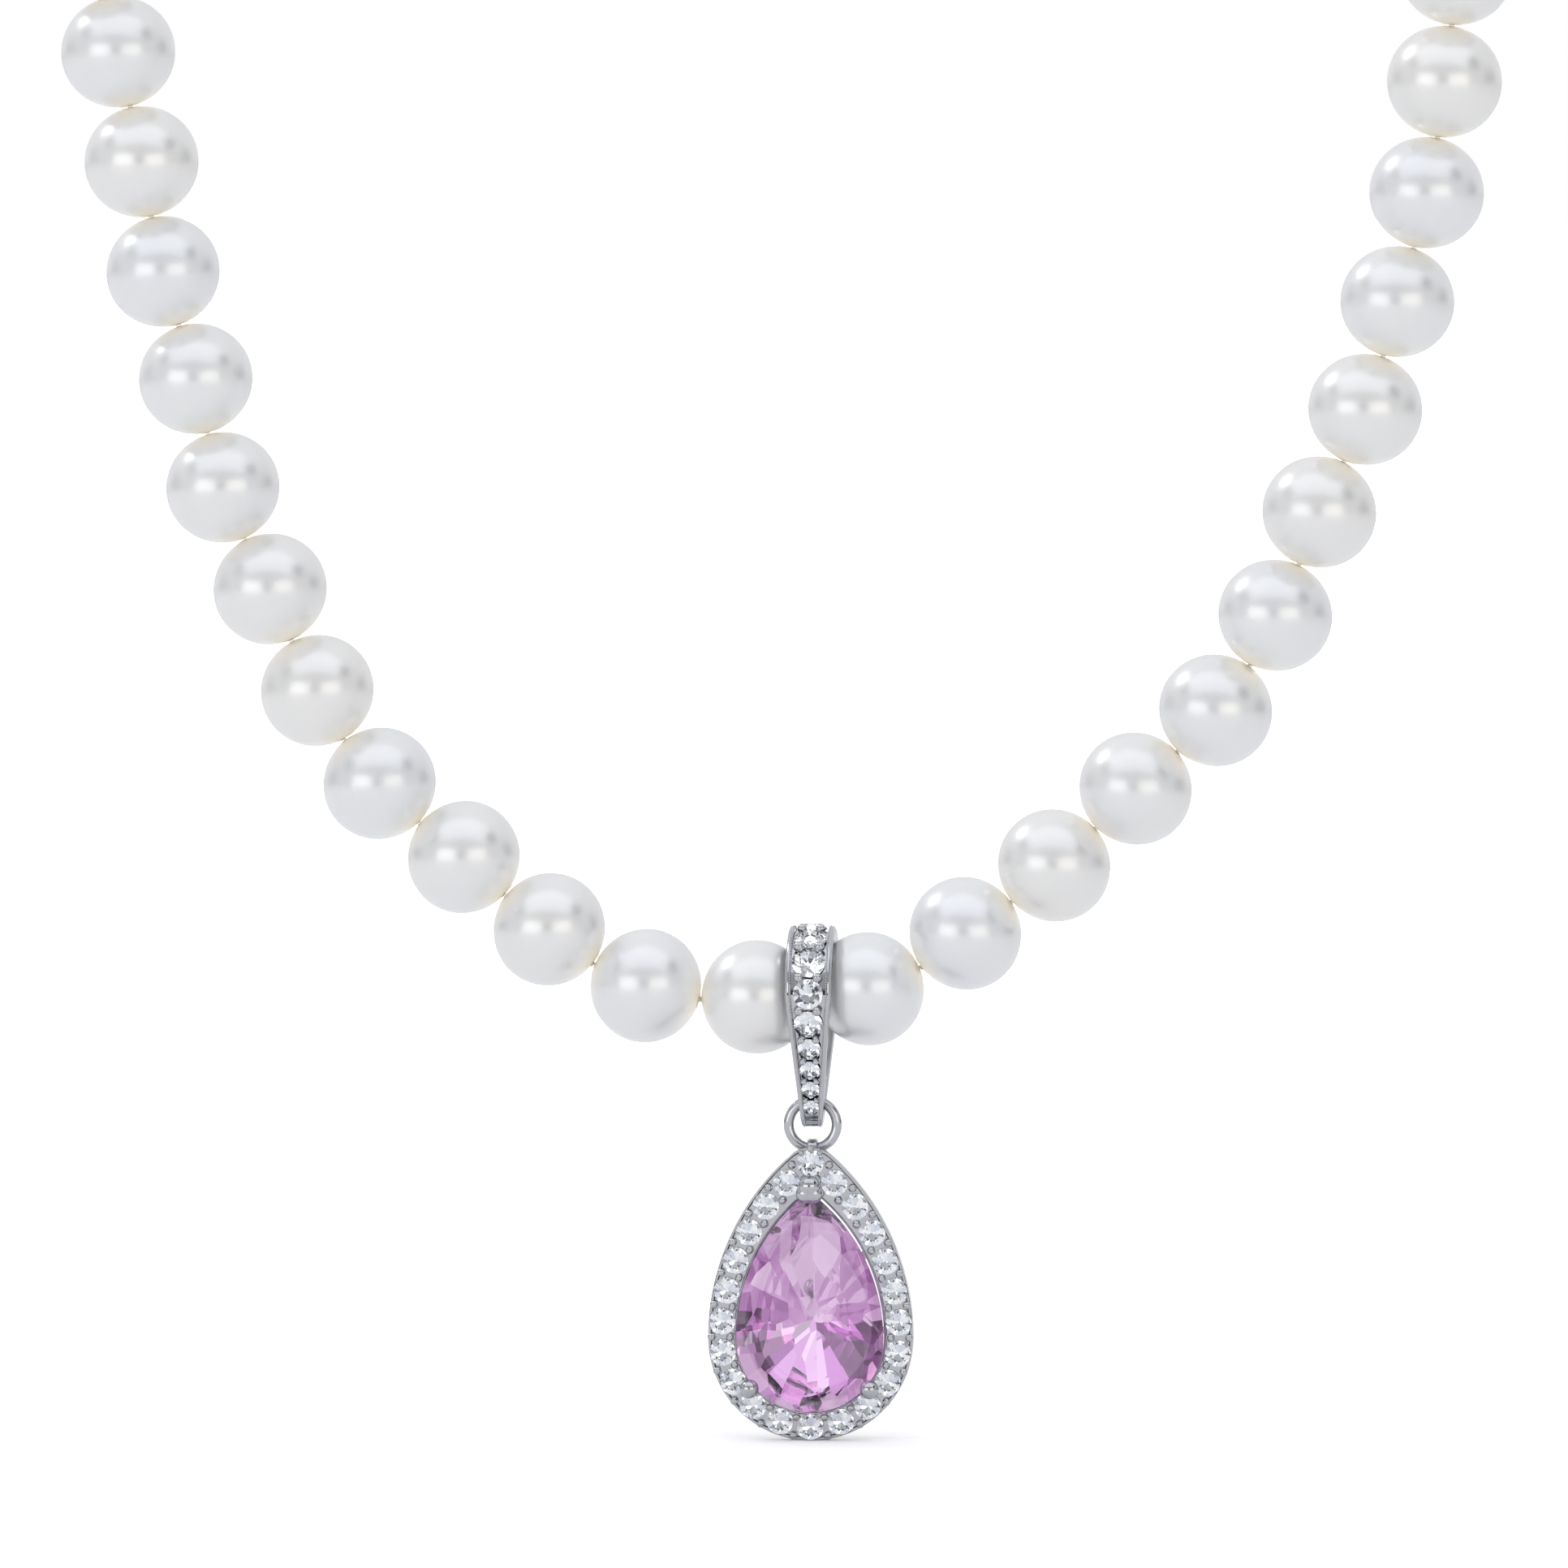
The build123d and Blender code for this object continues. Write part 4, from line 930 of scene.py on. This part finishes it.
class NECKLACE_OT_pearls(bpy.types.Operator):
    """The 49 round pearls, drilled, one mesh for each row of the strand"""
    bl_idname = "necklace.pearls"
    bl_label = "Pearls"

    def execute(self, context):
        sizes = context.scene.necklace_sizes
        rings, spokes = sizes.pearl_rings, sizes.pearl_spokes
        bore = sizes.drill / 2
        start = 0.17                # angle from the axis where the drill hole's edge begins
        turns = [start + (pi - 2 * start) * k / rings for k in range(rings + 1)]
        profile = [(PEARL_ACROSS * sin(turn), PEARL_ALONG * cos(turn)) for turn in turns]
        end = profile[-1][1]
        # the hole's softened edge at one end, the bore, and the edge at the other end
        edge = [(bore + 0.06, -0.03), (bore + 0.012, 0.0), (bore, 0.06)]
        profile += [(r, end + h) for r, h in edge]
        profile += [(bore, end * (1 - k / 3)) for k in range(1, 6)]
        profile += [(r, -end - h) for r, h in reversed(edge)]
        points = [(MM * r * cos(TAU * j / spokes), MM * r * sin(TAU * j / spokes), MM * h)
                  for r, h in profile for j in range(spokes)]
        pearl = mesh_object("drilled_pearl", points, grid_faces(len(profile), spokes))
        # mask of the painted warm light: strongest at the drill hole, gone at the reach of the painted light
        near = pearl.data.attributes.new("painted_hole_light", "FLOAT", "POINT")
        near.data.foreach_set("value", [
            max(0.0, 1 - sqrt(v.co.x ** 2 + v.co.y ** 2) / (MM * HOLE_LIGHT_REACH)) ** 1.1
            for v in pearl.data.vertices])
        tree = repeat_tree("pearls on their drill lines", "Pearl", wavy=True)
        count = 0
        for node in sorted(n for n in frame["nodes"] if n.startswith("pearls_")):
            places = []
            for solid in solids_of(node):
                places.append((*axis_of(solid), 1.0, (count * GOLDEN) % 1))
                count += 1
            row = grow(node + "_nacre", seed_points(node + "_seeds", places), tree, {
                "Pearl": pearl, "Finish": finish("nacre"), "Waviness": sizes.waviness * MM,
                "Wave length": WAVE_LENGTH * MM})
            stand_in_for(row, body_of(node), "nacre", node)
        bpy.data.objects.remove(pearl)
        return {"FINISHED"}


class NECKLACE_OT_thread(bpy.types.Operator):
    """Silk stringing thread and its knots, in twisted silk"""
    bl_idname = "necklace.thread"
    bl_label = "Silk thread"

    def execute(self, context):
        for node in frame["nodes"]:
            if node.startswith("thread_") or node == "end_knots":
                colour_node(node, "silk")
        return {"FINISHED"}


class NECKLACE_OT_round_stones(bpy.types.Operator):
    """Round brilliants of the halo and the bail, each seated where its CAD stone sits"""
    bl_idname = "necklace.round_stones"
    bl_label = "Round stones"

    def execute(self, context):
        stone = round_brilliant()
        tree = repeat_tree("brilliants on their seats", "Stone")
        for node in ("halo_stones", "bail_stones"):
            places = [(*seat, (k * GOLDEN) % 1) for k, seat in enumerate(stone_seats(node))]
            stones = grow(node + "_cut", seed_points(node + "_seeds", places), tree,
                          {"Stone": stone, "Finish": finish("clear")})
            stones.data.polygons.foreach_set("use_smooth", [False] * len(stones.data.polygons))
            stand_in_for(stones, body_of(node), "white_stones", node)
        bpy.data.objects.remove(stone)
        return {"FINISHED"}


class NECKLACE_OT_pear_stone(bpy.types.Operator):
    """The orchid pear stone with its crushed-ice pavilion"""
    bl_idname = "necklace.pear_stone"
    bl_label = "Pear stone"

    def execute(self, context):
        sizes = context.scene.necklace_sizes
        low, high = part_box("centre_stone")
        half_width = (high.x - low.x) / 2 / MM
        tip = (high.z - low.z) / MM - half_width
        height = (high.y - low.y) / MM
        crown = height * 0.26
        # a hair inside the CAD stone, so that it stays clear of its claws
        stone = pear_brilliant(half_width - 0.01, tip - 0.02, crown, height - crown, sizes.culet_rise)
        centre = Vector(((low.x + high.x) / 2, low.y + crown * MM, low.z + half_width * MM))
        for vert in stone.data.vertices:
            x, y, z = vert.co * MM
            vert.co = centre + Vector((x, -z, y))
        stand_in_for(stone, "pendant", "centre_stone", "centre_stone")
        return {"FINISHED"}


class NECKLACE_OT_bail(bpy.types.Operator):
    """Bail: a tapered channel-set strap with polished, finely grained rails"""
    bl_idname = "necklace.bail"
    bl_label = "Bail"

    def execute(self, context):
        sizes = context.scene.necklace_sizes
        strand = joint_place("bail_swing")
        metal = finish("rhodium")
        rings, grains = [], []
        stations = 240
        for k in range(stations):
            along = 2 * k / stations - 1
            outer, normal, inner, half = bail_station(along)
            through = inner - outer
            wall = through.length
            through.normalize()
            # the channel starts behind the crest and runs out above the foot
            channel = sizes.channel * smooth_step(-0.13, -0.08, along) * (1 - smooth_step(0.93, 0.97, along))
            rail = min(sizes.rail, half * 0.36)
            # across and depth: a soft outer edge, the rail, its bright-cut inner edge, the channel
            left = [(-half, 0.4), (-half + 0.03, 0.16), (-half + 0.12, 0.04), (-half + 0.2, 0.0),
                    (-half + rail - 0.06, 0.0), (-half + rail, 0.05), (-half + rail + 0.03, 0.08 + channel)]
            under = [(half, wall - 0.3), (half - 0.05, wall - 0.1), (half - 0.22, wall)]
            section = left + [(-x, d) for x, d in reversed(left)]
            section += under + [(-x, d) for x, d in reversed(under)]
            rings.append([strand + (outer + Vector((x, 0, 0)) + through * depth) * MM
                          for x, depth in section])
            if -0.1 < along < 0.95:
                for side in (-1, 1):
                    spot = outer + Vector((side * (half - rail), 0, 0)) + through * 0.03
                    grains.append((strand + spot * MM, normal, sizes.grain / 2 * MM, 0.5))
        seats = sorted(stone_seats("bail_stones"), key=lambda seat: -seat[0].z)
        strap = seated(ringed("bail_strap", rings, metal), seats, metal)
        # bead prongs stand in pairs between two neighbouring stones
        prongs = []
        for (near, _, near_size), (far, _, far_size) in zip(seats, seats[1:]):
            gap = near.lerp(far, near_size / (near_size + far_size))
            spot, normal = nearest_on_bail(gap, strand)
            smaller = min(near_size, far_size)
            for side in (-0.6 * smaller - 0.03 * MM, 0.6 * smaller + 0.03 * MM):
                prongs.append((spot + Vector((side, 0, 0)) + normal * 0.02 * MM, normal, 0.34 * smaller, 0.5))
        bead = mesh_object("bead", *ball(1.0))
        tree = repeat_tree("beads and grains on the bail", "Bead")
        balls = [grow(name, seed_points(name + "_seeds", places), tree, {"Bead": bead, "Finish": metal})
                 for name, places in (("bail_beads", prongs), ("bail_grain", grains))]
        bpy.data.objects.remove(bead)
        stand_in_for(join("bail_polished", [strap, *balls]), "bail", "rhodium_silver", "bail")
        return {"FINISHED"}


class NECKLACE_OT_halo(bpy.types.Operator):
    """Halo: a bright-cut pear rim with bead-set stones and the eye that hangs it"""
    bl_idname = "necklace.halo"
    bl_label = "Halo"

    def execute(self, context):
        sizes = context.scene.necklace_sizes
        metal = finish("rhodium")
        middle = pendant_middle()
        front, back, rim = HALO_FRONT, HALO_BACK, sizes.halo_rim
        outer = (HALO_HALF_WIDTH, sizes.halo_tip, sizes.halo_tip_rounding)
        # from the back of the hole, over the floor that the stones sit in, to the polished rim
        section = ((0, 0, back - 0.1), (0, 0, front + 0.22), (0, 0.03, front + 0.16),
                   (0, 0.08, front + 0.14), (1, -rim - 0.1, front + 0.14), (1, -rim - 0.04, front + 0.02),
                   (1, -rim, front - 0.01), (1, -0.05, front - 0.01), (1, 0, front + 0.05),
                   (1, 0, back - 0.12), (1, -0.04, back - 0.03), (1, -0.12, back), (0, 0.12, back),
                   (0, 0.04, back - 0.03))
        band = pear_band("halo_plate", HALO_HOLE, outer, section, metal, middle)
        plate = seated(band, stone_seats("halo_stones"), metal)

        hinge = joint_place("pendant_swing")
        hole, wall, wide, edge = 0.42, 0.24, 0.35, 0.09
        side = [(hole, -wide + edge), (hole + edge, -wide), (hole + wall - edge, -wide),
                (hole + wall, -wide + edge)]
        loop = side + [(r, -x) for r, x in reversed(side)]
        steps = 64
        turns = [TAU * k / steps for k in range(steps)]
        eye = ringed("halo_eye", [[hinge + Vector((x, r * cos(turn), r * sin(turn))) * MM for r, x in loop]
                                  for turn in turns], metal)

        def bead_at(x, y, radius):
            return middle + Vector((x, front - 0.02, y)) * MM, Vector((0, -1, 0)), radius * MM, 0.5

        # a pair of beads between every two stones, but none under a claw
        beads = []
        for k in range(HALO_STONES):
            point, out = pear_point(*HALO_ROW, (2 * k + 1) / (2 * HALO_STONES))
            for reach in (-0.62, 0.66):
                spot = point + out * reach
                if min((spot - claw).length for claw in claw_places()) > 0.62:
                    beads.append(bead_at(spot.x, spot.y, sizes.bead / 2))
        # three small ones fill the tip
        beads += [bead_at(-0.62, 12.55, 0.2), bead_at(0.62, 12.55, 0.2), bead_at(0.0, 12.85, 0.24)]
        bead = mesh_object("bead", *ball(1.0))
        tree = repeat_tree("bead prongs round the halo", "Bead")
        prongs = grow("halo_beads", seed_points("halo_bead_seeds", beads), tree,
                      {"Bead": bead, "Finish": metal})
        bpy.data.objects.remove(bead)
        stand_in_for(join("halo_polished", [plate, eye, prongs]), "pendant", "rhodium_silver", "halo_frame")
        return {"FINISHED"}


class NECKLACE_OT_basket(bpy.types.Operator):
    """Claws over the pear stone and the open gallery that carries them"""
    bl_idname = "necklace.basket"
    bl_label = "Claws and gallery"

    def execute(self, context):
        sizes = context.scene.necklace_sizes
        metal = finish("rhodium")
        middle = pendant_middle()
        wire = 0.25 * MM

        def place(spot, depth):
            return middle + Vector((spot.x, depth, spot.y)) * MM

        def rail(name, inner, outer, front, back):
            soft = 0.14
            slight = soft * 0.3
            return pear_band(name, inner, outer, (
                (0, 0, back - soft), (0, 0, front + soft), (0, slight, front + slight), (0, soft, front),
                (1, -soft, front), (1, -slight, front + slight), (1, 0, front + soft), (1, 0, back - soft),
                (1, -slight, back - slight), (1, -soft, back), (0, soft, back), (0, slight, back - slight)),
                metal, middle, stations=160)

        parts = [rail("lower_rail", *LOWER_RAIL), rail("upper_rail", *UPPER_RAIL)]
        for k in range(STRUTS):
            top, bottom = (pear_point(*pear, k / STRUTS)[0] for pear in (CLAW_PEAR, STRUT_FOOT_PEAR))
            parts.append(rod("strut", place(top, -0.45), place(bottom, 2.0), wire, wire, metal))
        gallery = join("gallery_wires", parts)

        # a ball head on each side claw; the tip's claw is a wider head of three lobes
        heads = []
        for spot in claw_places():
            at_tip = spot.x == 0
            heads.append(rod("shaft", place(spot, -0.5), place(spot, -2.75), wire, 0.27 * MM, metal))
            centre = place(spot - spot.normalized() * (0.25 if at_tip else 0.02), -3.02)
            radius = sizes.claw / 2 * MM * (1.2 if at_tip else 1.0)
            lobes = (((0, 0, 0.3), 1.0), ((-0.27, 0.02, -0.2), 0.84), ((0.27, 0.02, -0.2), 0.84))
            for shift, share in lobes if at_tip else (((0, 0, 0), 1.0),):
                points, faces = ball(radius * share, rings=16, spokes=24)
                points = [centre + Vector(shift) * MM + p for p in points]
                heads.append(mesh_object("lobe", points, faces, metal))
        claws = melted("claw_heads", heads, 0.045 * MM, metal)
        stand_in_for(join("claws_and_gallery", [gallery, claws]), "pendant", "rhodium_silver", "claw_basket")
        return {"FINISHED"}


class NECKLACE_OT_rings(bpy.types.Operator):
    """Soldered wire rings: the pendant's jump ring and the two rings of the clasp"""
    bl_idname = "necklace.rings"
    bl_label = "Rings"

    def execute(self, context):
        for node in ("jump_ring", "link_ring", "end_ring"):
            stand_in_for(hoop(node + "_wire", *ring_like(node), finish("rhodium")), body_of(node),
                         "rhodium_silver", node)
        return {"FINISHED"}


class NECKLACE_OT_clasp(bpy.types.Operator):
    """Lobster clasp and bead tips in rhodium plate, with a plain steel pin and spring"""
    bl_idname = "necklace.clasp"
    bl_label = "Clasp"

    def execute(self, context):
        for node in ("bead_tip_left", "bead_tip_right", "clasp_body", "clasp_lever"):
            colour_node(node, "rhodium")
        for node in ("lever_pin", "lever_spring"):
            colour_node(node, "steel")
        return {"FINISHED"}


class NECKLACE_PT_pieces(bpy.types.Panel):
    """The necklace's pieces, in the order they are made"""
    bl_idname = "NECKLACE_PT_pieces"
    bl_label = "Pearl necklace"
    bl_space_type = "VIEW_3D"
    bl_region_type = "UI"
    bl_category = "Necklace"

    def draw(self, context):
        for settings in (context.scene.necklace_sizes, context.scene.necklace_colours):
            column = self.layout.column()
            for key in settings.__annotations__:
                column.prop(settings, key)
        for maker in MAKERS:
            self.layout.operator(maker.bl_idname)


MAKERS = (NECKLACE_OT_stage, NECKLACE_OT_pearls, NECKLACE_OT_thread, NECKLACE_OT_round_stones,
          NECKLACE_OT_pear_stone, NECKLACE_OT_bail, NECKLACE_OT_halo, NECKLACE_OT_basket,
          NECKLACE_OT_rings, NECKLACE_OT_clasp)
CLASSES = (NecklaceSizes, NecklaceColours, *MAKERS, NECKLACE_PT_pieces)


def register():
    for item in CLASSES:
        bpy.utils.register_class(item)
    bpy.types.Scene.necklace_sizes = PointerProperty(type=NecklaceSizes)
    bpy.types.Scene.necklace_colours = PointerProperty(type=NecklaceColours)


def unregister():
    del bpy.types.Scene.necklace_colours
    del bpy.types.Scene.necklace_sizes
    for item in reversed(CLASSES):
        bpy.utils.unregister_class(item)


def main():
    register()
    bpy.ops.necklace.stage()
    bpy.ops.necklace.pearls()
    bpy.ops.necklace.thread()
    bpy.ops.necklace.round_stones()
    bpy.ops.necklace.pear_stone()
    bpy.ops.necklace.bail()
    bpy.ops.necklace.halo()
    bpy.ops.necklace.basket()
    bpy.ops.necklace.rings()
    bpy.ops.necklace.clasp()
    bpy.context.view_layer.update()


if __name__ == "__main__":
    main()
